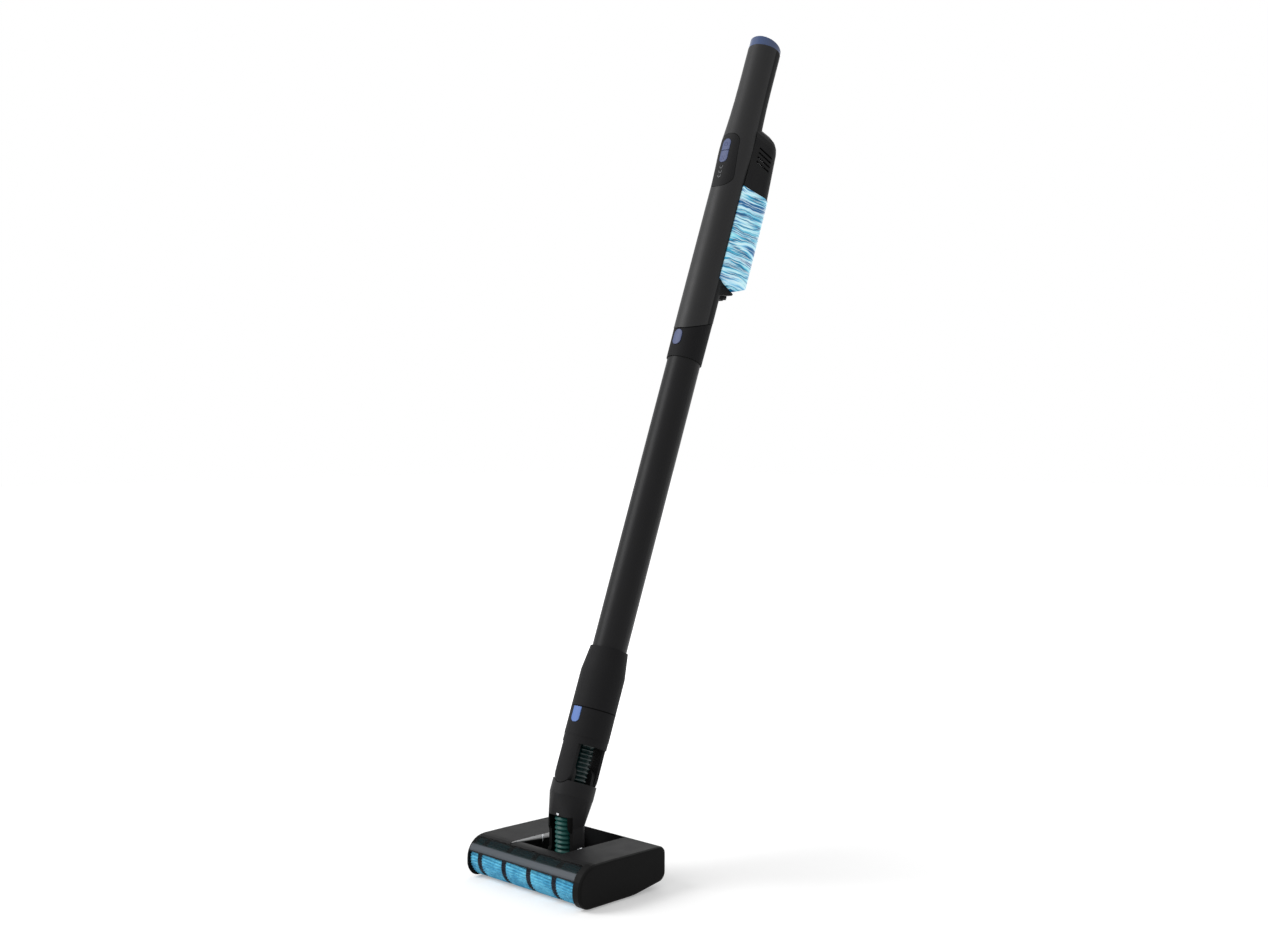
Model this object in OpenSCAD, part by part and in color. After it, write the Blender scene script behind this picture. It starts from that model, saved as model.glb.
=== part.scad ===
// Cordless stick vacuum: roller head, two-way neck, wand and hand unit.
// The origin is on the floor under the middle of the head. +Z is up, the
// roller faces -Y, +X is the right-hand side, and the stick leans back
// towards +Y. Everything from the neck up is drawn in the stick's own frame:
// z runs up the stick from the knee, y points to its rear, x to its right.

/* [Head] */
// Width of the head over both end caps
head_width = 200; // [180:1:260]
// From the origin to the front of the head
head_front = 71; // [69:1:80]
// From the origin to the rear face of the head
head_rear = 71; // [69:1:90]
// Height of the head's top at its rear edge
rear_height = 50; // [45:0.5:51]
// Gap between the floor and the underside of the head
ground_gap = 1.4; // [1:0.1:3]
// Wall thickness of the head's shells
head_wall = 1.8; // [1.4:0.1:2.4]
// Thickness of the left end cap
left_cap_t = 4.5; // [4:0.1:6]
// Thickness of the right end cap, which holds the belt
right_cap_t = 12; // [11:0.5:15]
// Width of the recess that the neck stands in
recess_width = 80; // [70:1:100]
// Height of the recess floor above the ground
recess_floor = 17; // [15:0.5:20]
// Diameter of the rear wheels
wheel_d = 18; // [16:0.5:22]
// Width of the rear wheels
wheel_w = 7; // [5:0.5:10]

/* [Roller] */
// Diameter of the plush roller
roller_d = 48; // [46:0.5:54]
// Depth of the plush on the roller's core
plush_depth = 7; // [5:0.5:9]
// Width of each bristle ring
ring_width = 8; // [6:0.5:10]
// Distance between bristle rings
ring_pitch = 43.6; // [40:0.2:46]
// Diameter of the roller's axle
axle_d = 6; // [5:0.1:7]

/* [Neck] */
// How far the stick leans back from upright
lean = 20.8; // [15:0.1:24]
// Height of the pitch hinge above the floor
pitch_z = 35; // [33:0.5:38]
// Width of the fork over its two cheeks
fork_width = 41; // [38:0.5:46]
// Depth of the fork, front to rear
fork_depth = 27; // [25:0.5:29]
// Thickness of each fork cheek
cheek_t = 5; // [4:0.1:5.5]
// Outer diameter of the corrugated hose
hose_d = 26.4; // [24:0.2:27]
// Distance from the knee up to the side-tilt hinge
tilt_s = 47; // [46:0.5:50]
// Half-width of the tongues that hold the side-tilt pins
tongue_half = 13.5; // [12:0.5:14]
// Diameter of the hinge pins
pin_d = 6; // [5:0.1:7]
// Diameter of the neck collar and of the foot above it
neck_d = 55.6; // [54:0.2:58]

/* [Wand] */
// Diameter of the wand tube
wand_d = 43.5; // [41:0.5:45]
// Wall thickness of the wand tube
wand_wall = 1.25; // [1:0.05:2]
// Distance from the knee up to the top of the foot
foot_top = 203; // [195:1:215]
// Distance from the knee up to the lower edge of the wand's top collar
collar_bottom = 586; // [500:1:640]

/* [Hand unit] */
// Diameter of the hand unit's tube beside the dust cup
tube_d = 47.8; // [46.6:0.1:49]
// Diameter of the handle
grip_d = 44.4; // [42:0.2:46]
// Length of the handle from the motor housing to the end cap
grip_length = 108; // [102:1:140]
// Wall thickness of the hand unit's shells
hand_wall = 2; // [1.6:0.1:2.4]
// Width of the dust cup and the motor housing
cup_width = 52; // [51:0.5:56]
// Length of the dust cup along the stick, at the tube
cup_length = 140; // [130:1:170]
// Wall thickness of the dust cup
cup_wall = 1.6; // [1.2:0.1:2]
// From the stick's axis to the rear of the dust cup
cup_rear = 67; // [64:0.5:72]
// Diameter of the charging plug's hole
plug_d = 5.5; // [5:0.1:6]

/* [Hidden] */

// Clearances: a running fit, a gap between bodies, and a part line
fit = 0.04;
gap = 0.3;
seam = 0.15;
round_fn = 96;

// Head: heights and depths that follow the roller
roller_r = roller_d / 2;
roller_gap = 0.4;
chamber_gap = 1;
roller_z = roller_r + roller_gap;
chamber_r = roller_r + chamber_gap;
nose_r = chamber_r + head_wall;
roller_y = nose_r - head_front;
head_top = roller_z + nose_r;
split_z = 22;
crown_y = -12;
window_low = 20;
window_high = 69;
head_left = left_cap_t - head_width / 2;
head_right = head_width / 2 - right_cap_t;
left_cap_round = 4.2;
right_cap_round = 3;
recess_rim = 1.6;
recess_front = roller_y - nose_r * cos(window_high) + recess_rim;
recess_skin = 0.8;
recess_rear = head_rear - 8;
far_out = 100;
duct_half = 12;
duct_low = ground_gap + head_wall + 1;
duct_high = recess_floor - head_wall - 1;
duct_collar_r = hose_d / 2 + 3;
hose_seat = recess_floor + 2;
strip_t = 2.8;
strip_sunk = 1.2;

// Roller and its drive
drum_r = roller_r - plush_depth;
axle_r = axle_d / 2;
roller_left = head_left + 0.6;
roller_right = head_right - 0.6;
first_ring = 16.5;
ring_count = floor((roller_right - roller_left - first_ring) / ring_pitch) + 1;
bearing_r = axle_r + 3;
bearing_w = 3;
pulley_w = 5;
belt_w = 4.4;
belt_t = 1.2;
big_pulley_r = 14;
small_pulley_r = 6;
pulley_x = head_right + 1.6;
motor_y = roller_y + 54;
motor_z = 27;
motor_r = 11.5;
motor_length = 36;
motor_shaft_r = 1.6;
motor_x = head_right - 4 - motor_length;

// Wheels and screws under the head
wheel_r = wheel_d / 2;
wheel_x = head_width / 2 - 28;
wheel_y = head_rear - 18;
wheel_axle_r = 2;
head_screw_r = 1.3;
screw_head_t = 2;
screw_seat = ground_gap + head_wall + 1.4;
screw_head_r = 2.8;
post_r = 4;
head_screws_at = [for (side = [-1, 1], at = [[recess_width / 2 + 12, 37], [head_width / 2 - 20, 41]])
    [side * at[0], head_rear - at[1]]];

// Neck
knee_y = 3.5;
knee_z = pitch_z + 47.6;
pitch_y = 2;
pin_r = pin_d / 2;
hose_r = hose_d / 2;
hose_bore = hose_r + 0.8;
fork_front = knee_y - fork_depth / 2;
fork_rear = knee_y + fork_depth / 2;
cheek_end_r = 11;
cheek_front = fork_front + 3.5;
rear_wall = 3;
stud_r = 2.2;
channel_top = knee_z;
stud_z = channel_top + stud_r + 0.6;
stud_front = fork_front - 1.6;
stud_rear = fork_front + 3.9;
ear_half = 9;
ear_t = 4;
ear_x = fork_width / 2 + gap;
elbow_r = 27;
elbow_low = 21;
elbow_high = 38;
lug_face = hose_bore + 5;
lug_r = tongue_half - 1.5;
tongue_r = neck_d / 2 - 0.4;
tongue_gap = 0.8;
tongue_edge = tilt_s + 36;
neck_step = tilt_s + 45;
neck_r = neck_d / 2;
neck_seam = tilt_s + 79;

// Wand
wand_r = wand_d / 2;
spigot_r = wand_r - 1.25;
spigot_bottom = neck_step + 5.3;
lower_button_travel = 2;
lower_button_back = -spigot_r - 1.8 - lower_button_travel;
shield_half = 6.3;
shield_height = 19;
tube_seat = neck_seam + 14;
collar_r = wand_r + 1.55;
tube_end = collar_bottom + 14;
hand_seam = collar_bottom + 50.6;
seam_slope = 0.56;
nozzle_r = wand_r - 4.25;
nozzle_wall = 2.4;
nozzle_bottom = tube_end + 4;
upper_button_s = hand_seam - 25;
upper_button_back = 3 - collar_r;
upper_button_travel = 1.5;
upper_button_half = 10.3;

// Hand unit
tube_r = tube_d / 2;
grip_r = grip_d / 2;
cup_bottom = hand_seam + 60;
cup_top = cup_bottom + cup_length;
panel_low = cup_top - 11;
bump_r = tube_r + 1.7;
bump_s = cup_top + 49;
housing_top = cup_top + 94;
panel_top = housing_top - 28;
grip_top = housing_top + grip_length;
hand_profile = [
    [hand_seam - 12, tube_r], [cup_top, tube_r], [bump_s - 26, tube_r + 0.8],
    [bump_s - 10, tube_r + 1.5], [bump_s, bump_r], [bump_s + 12, bump_r - 0.2],
    [bump_s + 30, bump_r - 1.4], [bump_s + 50, grip_r + 1],
    [bump_s + 72, grip_r + 0.3], [bump_s + 100, grip_r], [grip_top, grip_r]
];
cup_half = cup_width / 2;
cup_centre = cup_rear - cup_half;
cup_slope = -0.09;
cup_front = 0;
chamfer_rise = 6.5;
chamfer_y = tube_r + 6.4;
bottom_slope = 0.587;
latch_travel = 2.5;
latch_low = cup_bottom - 7;
latch_bar = latch_low - latch_travel;
latch_spring_top = latch_low + 4.6;
latch_back = chamfer_y + 7.7;
cheek_back = chamfer_y + 4.2;
cheek_half = 22;
latch_front = tube_r + 0.5;
latch_half = 9;
core_r = 10;
core_y = tube_r + gap + cup_wall + 1.4 + core_r;
port_half = 9;
port_height = 24;
port_s = cup_top - 52;
gasket_t = 1;
gasket_drop = (gasket_t + gap) * sqrt(1 + cup_slope * cup_slope);
screen_top = cup_top - core_y * cup_slope - gasket_drop - 4;
fan_y = 31;
fan_s = cup_top + 20;
fan_r = 19;
fan_height = 34;
panel_half = 19;
panel_t = 2.4;
button_half = 6.5;
button_mid = bump_s - 8;
button_reach = 17;
button_back = -bump_r + 3.4;
light_r = 1.7;
light_s = [for (i = [0:2]) panel_low + 15.5 + 6.5 * i];
panel_gap = 0.45;
board_y = -15;
board_t = 1.6;
cell_r = 9.2;
cell_length = 65;
cells_low = housing_top + 21;
socket_y = 33;
socket_r = 5;
socket_depth = 9;
socket_top = housing_top - 3;
grip_screw_r = 1.3;
grip_head_t = 2.5;
grip_screw_s = [housing_top + 13, grip_top - 9];

charcoal = [0.17, 0.17, 0.18];
jet = [0.10, 0.10, 0.11];
slate_blue = [0.39, 0.43, 0.65];
plush_blue = [0.33, 0.72, 0.92];
hose_green = [0.08, 0.30, 0.28];
steel = [0.75, 0.76, 0.78];
rubber = [0.07, 0.07, 0.07];

// ---- geometry helpers -------------------------------------------------

// Points of a polygon whose corners [a, b, radius] are rounded by arcs
function unit(v) = v / norm(v);
function turned(v, a) = [v[0] * cos(a) - v[1] * sin(a), v[0] * sin(a) + v[1] * cos(a)];
function corner_arc(before, at, after, r, n) =
    let (to_a = unit(before - at), to_b = unit(after - at),
         half = acos(to_a * to_b) / 2,
         centre = at + unit(to_a + to_b) * r / sin(half),
         first = at + to_a * r / tan(half) - centre,
         last = at + to_b * r / tan(half) - centre,
         side = sign(first[0] * last[1] - first[1] * last[0]))
    [for (i = [0:n]) centre + turned(first, side * (180 - 2 * half) * i / n)];
function rounded(corners, n = 8) = [
    for (i = [0:len(corners) - 1])
        let (c = corners[i], k = len(corners),
             a = corners[(i + k - 1) % k], b = corners[(i + 1) % k])
        each c[2] > 0
            ? corner_arc([a[0], a[1]], [c[0], c[1]], [b[0], b[1]], c[2], n)
            : [[c[0], c[1]]]
];

// Side outline of the head as [y, z], drawn in by an inset
function head_outline(inset = 0) = rounded([
    [inset - head_front, ground_gap + inset, 18 - inset],
    [inset - head_front, head_top - inset, nose_r - inset],
    [crown_y, head_top - inset, 200],
    [head_rear - inset, rear_height - inset, 9 - inset],
    [head_rear - inset, ground_gap + 8 + inset, 12 - inset],
    [18, ground_gap + inset, 60]
]);

// Draws a [y, z] outline and extrudes it along X from x0 to x1
module along_x(x0, x1) {
    translate([x0, 0, 0])
        rotate([90, 0, 90])
            linear_extrude(x1 - x0) children();
}

// Draws an [x, s] outline and extrudes it along the stick's y from y0 to y1
module along_y(y0, y1) {
    translate([0, y1, 0])
        rotate([90, 0, 0])
            linear_extrude(y1 - y0) children();
}

module rod_x(x0, x1, y, z, r) {
    translate([x0, y, z])
        rotate([0, 90, 0]) cylinder(h = x1 - x0, r = r, $fn = round_fn);
}

module rod_y(y0, y1, x, z, r) {
    translate([x, y0, z])
        rotate([-90, 0, 0]) cylinder(h = y1 - y0, r = r, $fn = round_fn);
}

module rod_z(z0, z1, x, y, r) {
    translate([x, y, z0]) cylinder(h = z1 - z0, r = r, $fn = round_fn);
}

module tube_z(z0, z1, outer, inner, y = 0) {
    difference() {
        rod_z(z0, z1, 0, y, outer);
        rod_z(z0 - 1, z1 + 1, 0, y, inner);
    }
}

module tube_x(x0, x1, y, z, outer, inner) {
    difference() {
        rod_x(x0, x1, y, z, outer);
        rod_x(x0 - 1, x1 + 1, y, z, inner);
    }
}

module block(x0, x1, y0, y1, z0, z1) {
    translate([x0, y0, z0]) cube([x1 - x0, y1 - y0, z1 - z0]);
}

// Places its children in the stick's frame
module on_stick() {
    translate([0, knee_y, knee_z])
        rotate([-lean, 0, 0]) children();
}

// A coil spring that stands on z = 0
module coil(length, r, wire, turns) {
    steps = 12 * turns;
    sides = 6;
    points = [for (i = [0:steps], k = [0:sides - 1])
        let (a = 30 * i, rad = r + wire * cos(60 * k))
        [rad * cos(a), rad * sin(a),
         wire + (length - 2 * wire) * i / steps + wire * sin(60 * k)]];
    walls = [for (i = [0:steps - 1], k = [0:sides - 1])
        let (n = (k + 1) % sides)
        [i * sides + k, (i + 1) * sides + k, (i + 1) * sides + n, i * sides + n]];
    ends = [[for (k = [0:sides - 1]) k],
            [for (k = [sides - 1:-1:0]) steps * sides + k]];
    polyhedron(points, concat(walls, ends));
}

// A corrugated hose that stands on z = 0
module corrugated(length, outer, inner, pitch) {
    ridges = floor(length / pitch);
    step = length / ridges;
    outline = concat(
        [[inner, 0]],
        [for (i = [0:ridges - 1]) each [
            [outer - 1.6, step * i], [outer, step * (i + 0.3)],
            [outer, step * (i + 0.6)], [outer - 1.6, step * (i + 0.9)]]],
        [[outer - 1.6, length], [inner, length]]);
    rotate_extrude($fn = round_fn) polygon(outline);
}

// ---- head -------------------------------------------------------------

// The ring-shaped wall round the rear of the roller
module chamber_ring() {
    intersection() {
        difference() {
            translate([roller_y, roller_z]) circle(nose_r, $fn = round_fn);
            translate([roller_y, roller_z]) circle(chamber_r, $fn = round_fn);
        }
        translate([roller_y, 0]) square([nose_r + 1, head_top]);
    }
}

module head_skin() {
    difference() {
        polygon(head_outline());
        polygon(head_outline(head_wall));
    }
}

// Everything in front of and below the upper edge of the window
module nose_sector(angle) {
    far = 3 * nose_r;
    translate([roller_y, roller_z])
        polygon([[0, 0], [-far * cos(angle), far * sin(angle)], [-far, far * sin(angle)],
                 [-far, -far], [0, -far]]);
}

module base_profile() {
    intersection() {
        union() {
            difference() {
                head_skin();
                translate([roller_y - far_out, 0]) square([far_out + 14, head_top]);
            }
            difference() {
                chamber_ring();
                translate([roller_y, 0]) square([14, roller_z]);
            }
        }
        translate([-head_front - 1, 0]) square([head_front + head_rear + 2, split_z]);
    }
}

module screw_post(x, y, z0, z1) {
    rod_z(z0, z1, x, y, post_r);
}

module base_shell() color(jet) {
    difference() {
        union() {
            along_x(head_left, head_right) base_profile();
            intersection() {
                union() {
                    for (at = head_screws_at) screw_post(at[0], at[1], 0, split_z);
                    // saddles under the brush motor
                    for (x = [motor_x + 4, motor_x + motor_length - 8])
                        block(x, x + 4, motor_y - 8, motor_y + 8, ground_gap + 1,
                              motor_z - motor_r / 2);
                    // walls of the wheel wells
                    for (side = [-1, 1])
                        block(side * wheel_x - wheel_w / 2 - 3, side * wheel_x + wheel_w / 2 + 3,
                              wheel_y - wheel_r - 3, wheel_y + wheel_r + 3,
                              ground_gap, split_z);
                }
                along_x(head_left, head_right) polygon(head_outline());
            }
            ears();
        }
        for (at = head_screws_at) {
            rod_z(-1, split_z + 1, at[0], at[1], head_screw_r + fit);
            rod_z(-1, screw_seat, at[0], at[1], screw_head_r + seam);
        }
        rod_x(motor_x - 1, head_right + 1, motor_y, motor_z, motor_r + fit);
        for (side = [-1, 1]) {
            block(side * wheel_x - wheel_w / 2 - 1, side * wheel_x + wheel_w / 2 + 1,
                  wheel_y - wheel_r - 1, wheel_y + wheel_r + 1, -1, wheel_r * 2 + 1);
            rod_x(side * wheel_x - wheel_w / 2 - 2.5, side * wheel_x + wheel_w / 2 + 2.5,
                  wheel_y, wheel_r, wheel_axle_r + fit);
        }
        // passage from the roller chamber to the suction duct
        block(-duct_half, duct_half, roller_y + 16, pitch_y, duct_low, duct_high);
        // slot for the soft strip behind the mouth
        block(head_left - 1, head_right + 1, -strip_t / 2 - 0.1, strip_t / 2 + 0.1, -1,
              ground_gap + strip_sunk);
        rod_x(-ear_x - ear_t - 1, ear_x + ear_t + 1, pitch_y, pitch_z, pin_r + fit);
    }
}

// Two ears that stand up through the recess floor beside the fork
module ears() {
    for (side = [-1, 1])
        along_x(side > 0 ? ear_x : -ear_x - ear_t, side > 0 ? ear_x + ear_t : -ear_x)
            union() {
                translate([pitch_y, pitch_z]) circle(7, $fn = round_fn);
                polygon([[pitch_y - ear_half, ground_gap + head_wall - 0.3],
                         [pitch_y + ear_half, ground_gap + head_wall - 0.3],
                         [pitch_y + 6.8, pitch_z + 1], [pitch_y - 6.8, pitch_z + 1]]);
            }
}

module top_cover() color(charcoal) {
    inner = recess_width / 2;
    difference() {
        union() {
            along_x(head_left, head_right)
                intersection() {
                    difference() {
                        union() {
                            head_skin();
                            chamber_ring();
                        }
                        nose_sector(window_high + 0.6);
                    }
                    translate([-head_front, split_z]) square([head_front + head_rear, head_top]);
                }
            // walls and floor of the recess
            along_x(-inner - head_wall, inner + head_wall)
                intersection() {
                    polygon(head_outline());
                    difference() {
                        translate([recess_front - head_wall, recess_floor - head_wall])
                            square([recess_rear - recess_front + 2 * head_wall, head_top]);
                        translate([roller_y, roller_z]) circle(chamber_r, $fn = round_fn);
                        nose_sector(90);
                        intersection() {
                            translate([roller_y, roller_z])
                                circle(nose_r + seam, $fn = round_fn);
                            translate([-head_front, 0]) square([2 * head_front, split_z]);
                        }
                    }
                }
            intersection() {
                for (at = head_screws_at) screw_post(at[0], at[1], split_z, head_top);
                along_x(head_left, head_right) polygon(head_outline(head_wall / 2));
            }
        }
        along_x(-inner, inner)
            difference() {
                translate([recess_front, recess_floor])
                    square([recess_rear - recess_front, head_top]);
                translate([roller_y, roller_z]) circle(chamber_r + recess_skin, $fn = round_fn);
            }
        // holes in the recess floor for the ears and the suction duct
        for (side = [-1, 1])
            block(side > 0 ? ear_x - seam : -ear_x - ear_t - seam,
                  side > 0 ? ear_x + ear_t + seam : -ear_x + seam,
                  pitch_y - ear_half - seam, pitch_y + ear_half + seam, 0, recess_floor + 1);
        rod_z(0, recess_floor + 1, 0, pitch_y, duct_collar_r + seam);
        rod_x(motor_x - 1, head_right + 1, motor_y, motor_z, motor_r + fit);
        for (at = head_screws_at)
            rod_z(split_z - 1, split_z + 14, at[0], at[1], head_screw_r + fit);
    }
}

// A cap with a softly rounded outer rim. The outer face is at x = width / 2.
module cap_body(thickness, cap_round) {
    outer = head_width / 2;
    hull() {
        along_x(outer - thickness, outer - cap_round) polygon(head_outline());
        along_x(outer - thickness, outer - cap_round / 3) polygon(head_outline(cap_round / 3));
        along_x(outer - thickness, outer) polygon(head_outline(cap_round));
    }
}

module left_end_cap() color(jet) {
    difference() {
        mirror([1, 0, 0]) cap_body(left_cap_t, left_cap_round);
        rod_x(head_left - bearing_w, head_left + 1, roller_y, roller_z, bearing_r + fit);
    }
}

module right_end_cap() color(jet) {
    difference() {
        cap_body(right_cap_t, right_cap_round);
        difference() {
            along_x(head_right - 1, head_width / 2 - head_wall) polygon(head_outline(head_wall));
            rod_x(pulley_x + pulley_w + 0.5, head_width / 2, roller_y, roller_z, bearing_r + 2);
        }
        rod_x(pulley_x, head_width / 2 - head_wall, roller_y, roller_z, bearing_r + fit);
    }
}

module front_window() color([0.55, 0.65, 0.72, 0.45]) {
    along_x(head_left, head_right)
        difference() {
            intersection() {
                difference() {
                    translate([roller_y, roller_z]) circle(nose_r, $fn = round_fn);
                    translate([roller_y, roller_z]) circle(chamber_r, $fn = round_fn);
                }
                nose_sector(window_high);
            }
            nose_sector(window_low);
        }
}

module roller_core() color([0.25, 0.55, 0.75]) {
    difference() {
        rod_x(roller_left, roller_right, roller_y, roller_z, drum_r);
        rod_x(roller_left + 6, roller_right - 6, roller_y, roller_z, drum_r - 2.5);
    }
    tube_x(roller_left + 5, roller_right - 5, roller_y, roller_z, axle_r + 2, axle_r);
    rod_x(head_left - bearing_w + 0.3, roller_left, roller_y, roller_z, axle_r);
    rod_x(roller_right, head_width / 2 - head_wall - 0.3, roller_y, roller_z, axle_r);
}

// The left edge of each bristle ring
function ring_x(i) = roller_left + first_ring + ring_pitch * i - ring_width / 2;

module roller_plush() color(plush_blue) {
    difference() {
        tube_x(roller_left, roller_right, roller_y, roller_z, roller_r, drum_r);
        for (i = [0:ring_count - 1])
            rod_x(ring_x(i), ring_x(i) + ring_width, roller_y, roller_z, roller_r + 1);
    }
}

module bristle_rings() color([0.16, 0.20, 0.24]) {
    for (i = [0:ring_count - 1])
        tube_x(ring_x(i), ring_x(i) + ring_width, roller_y, roller_z, roller_r - 0.2, drum_r);
}

module roller_bearings() color(steel) {
    right_x = head_width / 2 - head_wall - bearing_w;
    tube_x(head_left - bearing_w, head_left, roller_y, roller_z, bearing_r, axle_r + fit);
    tube_x(right_x, right_x + bearing_w, roller_y, roller_z, bearing_r, axle_r + fit);
}

// A flat-belt pulley with a rim on each side
module pulley(y, z, r, bore) {
    difference() {
        union() {
            rod_x(pulley_x, pulley_x + pulley_w, y, z, r);
            rod_x(pulley_x - 0.6, pulley_x, y, z, r + 1.2);
        }
        rod_x(pulley_x - 2, pulley_x + pulley_w + 1, y, z, bore);
    }
}

module roller_pulley() color(jet) {
    pulley(roller_y, roller_z, big_pulley_r, axle_r);
}

module motor_pulley() color(steel) {
    pulley(motor_y, motor_z, small_pulley_r, motor_shaft_r);
    rod_x(motor_x + motor_length + gap, pulley_x + pulley_w + 0.4, motor_y, motor_z, motor_shaft_r);
}

module belt_outline(extra) {
    hull() {
        translate([roller_y, roller_z]) circle(big_pulley_r + extra, $fn = 64);
        translate([motor_y, motor_z]) circle(small_pulley_r + extra, $fn = 48);
    }
}

module drive_belt() color(rubber) {
    along_x(pulley_x + 0.3, pulley_x + 0.3 + belt_w)
        difference() {
            belt_outline(gap + belt_t);
            belt_outline(gap);
        }
}

module brush_motor() color(steel) {
    difference() {
        rod_x(motor_x, motor_x + motor_length, motor_y, motor_z, motor_r);
        rod_x(motor_x + motor_length - 6, motor_x + motor_length + 1, motor_y, motor_z,
              motor_shaft_r + 1);
    }
}

module suction_duct() color(charcoal) {
    front = roller_y + nose_r - 0.6;
    wall = 1.5;
    difference() {
        union() {
            rod_z(duct_low, recess_floor + 5, 0, pitch_y, duct_collar_r);
            block(-duct_half, duct_half, front, pitch_y, duct_low, duct_high);
        }
        rod_z(duct_low + wall, recess_floor + 6, 0, pitch_y, hose_r - 2);
        rod_z(hose_seat, recess_floor + 6, 0, pitch_y, hose_r + 0.1);
        block(-duct_half + wall, duct_half - wall, front - 1, pitch_y, duct_low + wall,
              duct_high - wall);
    }
}

module rear_wheel(x) color(rubber) {
    tube_x(x - wheel_w / 2, x + wheel_w / 2, wheel_y, wheel_r, wheel_r, wheel_axle_r + fit);
}

module left_rear_wheel() {
    rear_wheel(-wheel_x);
}

module right_rear_wheel() {
    rear_wheel(wheel_x);
}

module wheel_axles() color(steel) {
    for (side = [-1, 1])
        rod_x(side * wheel_x - wheel_w / 2 - 2.4, side * wheel_x + wheel_w / 2 + 2.4,
              wheel_y, wheel_r, wheel_axle_r);
}

module mouth_strip() color([0.30, 0.31, 0.33]) {
    block(head_left + 4, head_right - 4, -strip_t / 2, strip_t / 2, 0, ground_gap + strip_sunk);
}

module pitch_pins() color(steel) {
    for (side = [-1, 1])
        rod_x(side > 0 ? fork_width / 2 - cheek_t + 0.4 : -ear_x - ear_t - 0.5,
              side > 0 ? ear_x + ear_t + 0.5 : -fork_width / 2 + cheek_t - 0.4,
              pitch_y, pitch_z, pin_r);
}

module head_screws() color(steel) {
    for (at = head_screws_at) {
        rod_z(screw_seat, split_z + 10, at[0], at[1], head_screw_r);
        rod_z(screw_seat - screw_head_t, screw_seat, at[0], at[1], screw_head_r);
    }
}

// ---- neck -------------------------------------------------------------

// Rounded section of the fork, from z upwards
module fork_slab(z, height = 1) {
    translate([0, knee_y, z])
        linear_extrude(height)
            polygon(rounded([
                [-fork_width / 2, -fork_depth / 2, 4], [fork_width / 2, -fork_depth / 2, 4],
                [fork_width / 2, fork_depth / 2, 7], [-fork_width / 2, fork_depth / 2, 7]], 4));
}

module elbow_shell() color(charcoal) {
    knee_low = knee_z - 13;
    difference() {
        union() {
            // fork: two cheeks with round lower ends and a rear wall
            intersection() {
                union() {
                    for (side = [-1, 1])
                        along_x(side > 0 ? fork_width / 2 - cheek_t : -fork_width,
                                side > 0 ? fork_width : cheek_t - fork_width / 2)
                            union() {
                                translate([pitch_y, pitch_z]) circle(cheek_end_r, $fn = round_fn);
                                polygon([[cheek_front, pitch_z], [cheek_front, knee_low - 6],
                                         [fork_front - 1, knee_low], [fork_rear + 1, knee_low],
                                         [fork_rear + 1, pitch_z + 7], [fork_rear - 4, pitch_z],
                                         [pitch_y, pitch_z - 2]]);
                            }
                    block(-fork_width, fork_width, fork_rear - rear_wall, fork_rear + 1,
                          pitch_z + 16, knee_low);
                }
                fork_slab(pitch_z - cheek_end_r - 1, knee_z);
            }
            hull() {
                fork_slab(knee_low - 1);
                fork_slab(knee_z - 8);
                on_stick() rod_z(elbow_low - 1, elbow_low, 0, 0, elbow_r - 0.3);
            }
            on_stick() {
                rod_z(elbow_low - 0.3, elbow_high, 0, 0, elbow_r);
                // lugs for the side-tilt pins
                intersection() {
                    along_y(-lug_face, lug_face)
                        union() {
                            translate([0, tilt_s]) circle(lug_r, $fn = round_fn);
                            translate([-lug_r, elbow_high - 6])
                                square([2 * lug_r, tilt_s - elbow_high + 6]);
                        }
                    rod_z(elbow_low, tilt_s + lug_r + 1, 0, 0, elbow_r - 1);
                }
            }
        }
        // way for the hose: a channel in the fork, a bore above the knee
        block(cheek_t - fork_width / 2, fork_width / 2 - cheek_t, fork_front - 9,
              fork_rear - rear_wall, 0, channel_top);
        rod_z(0, channel_top, 0, pitch_y, hose_r + gap);
        on_stick() {
            rod_z(-14, tilt_s + 20, 0, 0, hose_bore);
            block(-lug_r - 9, lug_r + 9, -hose_bore, hose_bore, elbow_high, tilt_s + 20);
            // flat pockets for the two tongues
            for (side = [-1, 1])
                along_y(side > 0 ? lug_face : -elbow_r - 4, side > 0 ? elbow_r + 4 : -lug_face)
                    union() {
                        translate([0, tilt_s]) circle(tongue_half + tongue_gap, $fn = round_fn);
                        translate([-elbow_r - 1, elbow_high])
                            square([2 * elbow_r + 2, 30]);
                    }
            rod_y(-elbow_r, elbow_r, 0, tilt_s, pin_r + fit);
        }
        rod_x(-fork_width, fork_width, pitch_y, pitch_z, pin_r + fit);
        rod_y(stud_front - 0.2, stud_rear + 0.1, 0, stud_z, stud_r + fit);
    }
}

module knee_stud() color(steel) {
    rod_y(stud_front, stud_rear, 0, stud_z, stud_r);
}

module lower_hose() color(hose_green) {
    low = hose_seat + 0.2;
    translate([0, pitch_y, low])
        corrugated(channel_top - 2 - low, hose_r, hose_r - 2.4, 5);
}

module tilt_pins() color(steel) {
    on_stick()
        for (side = [-1, 1])
            rod_y(side > 0 ? hose_bore + 0.6 : -lug_face - 4,
                  side > 0 ? lug_face + 4 : -hose_bore - 0.6, 0, tilt_s, pin_r);
}

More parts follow.
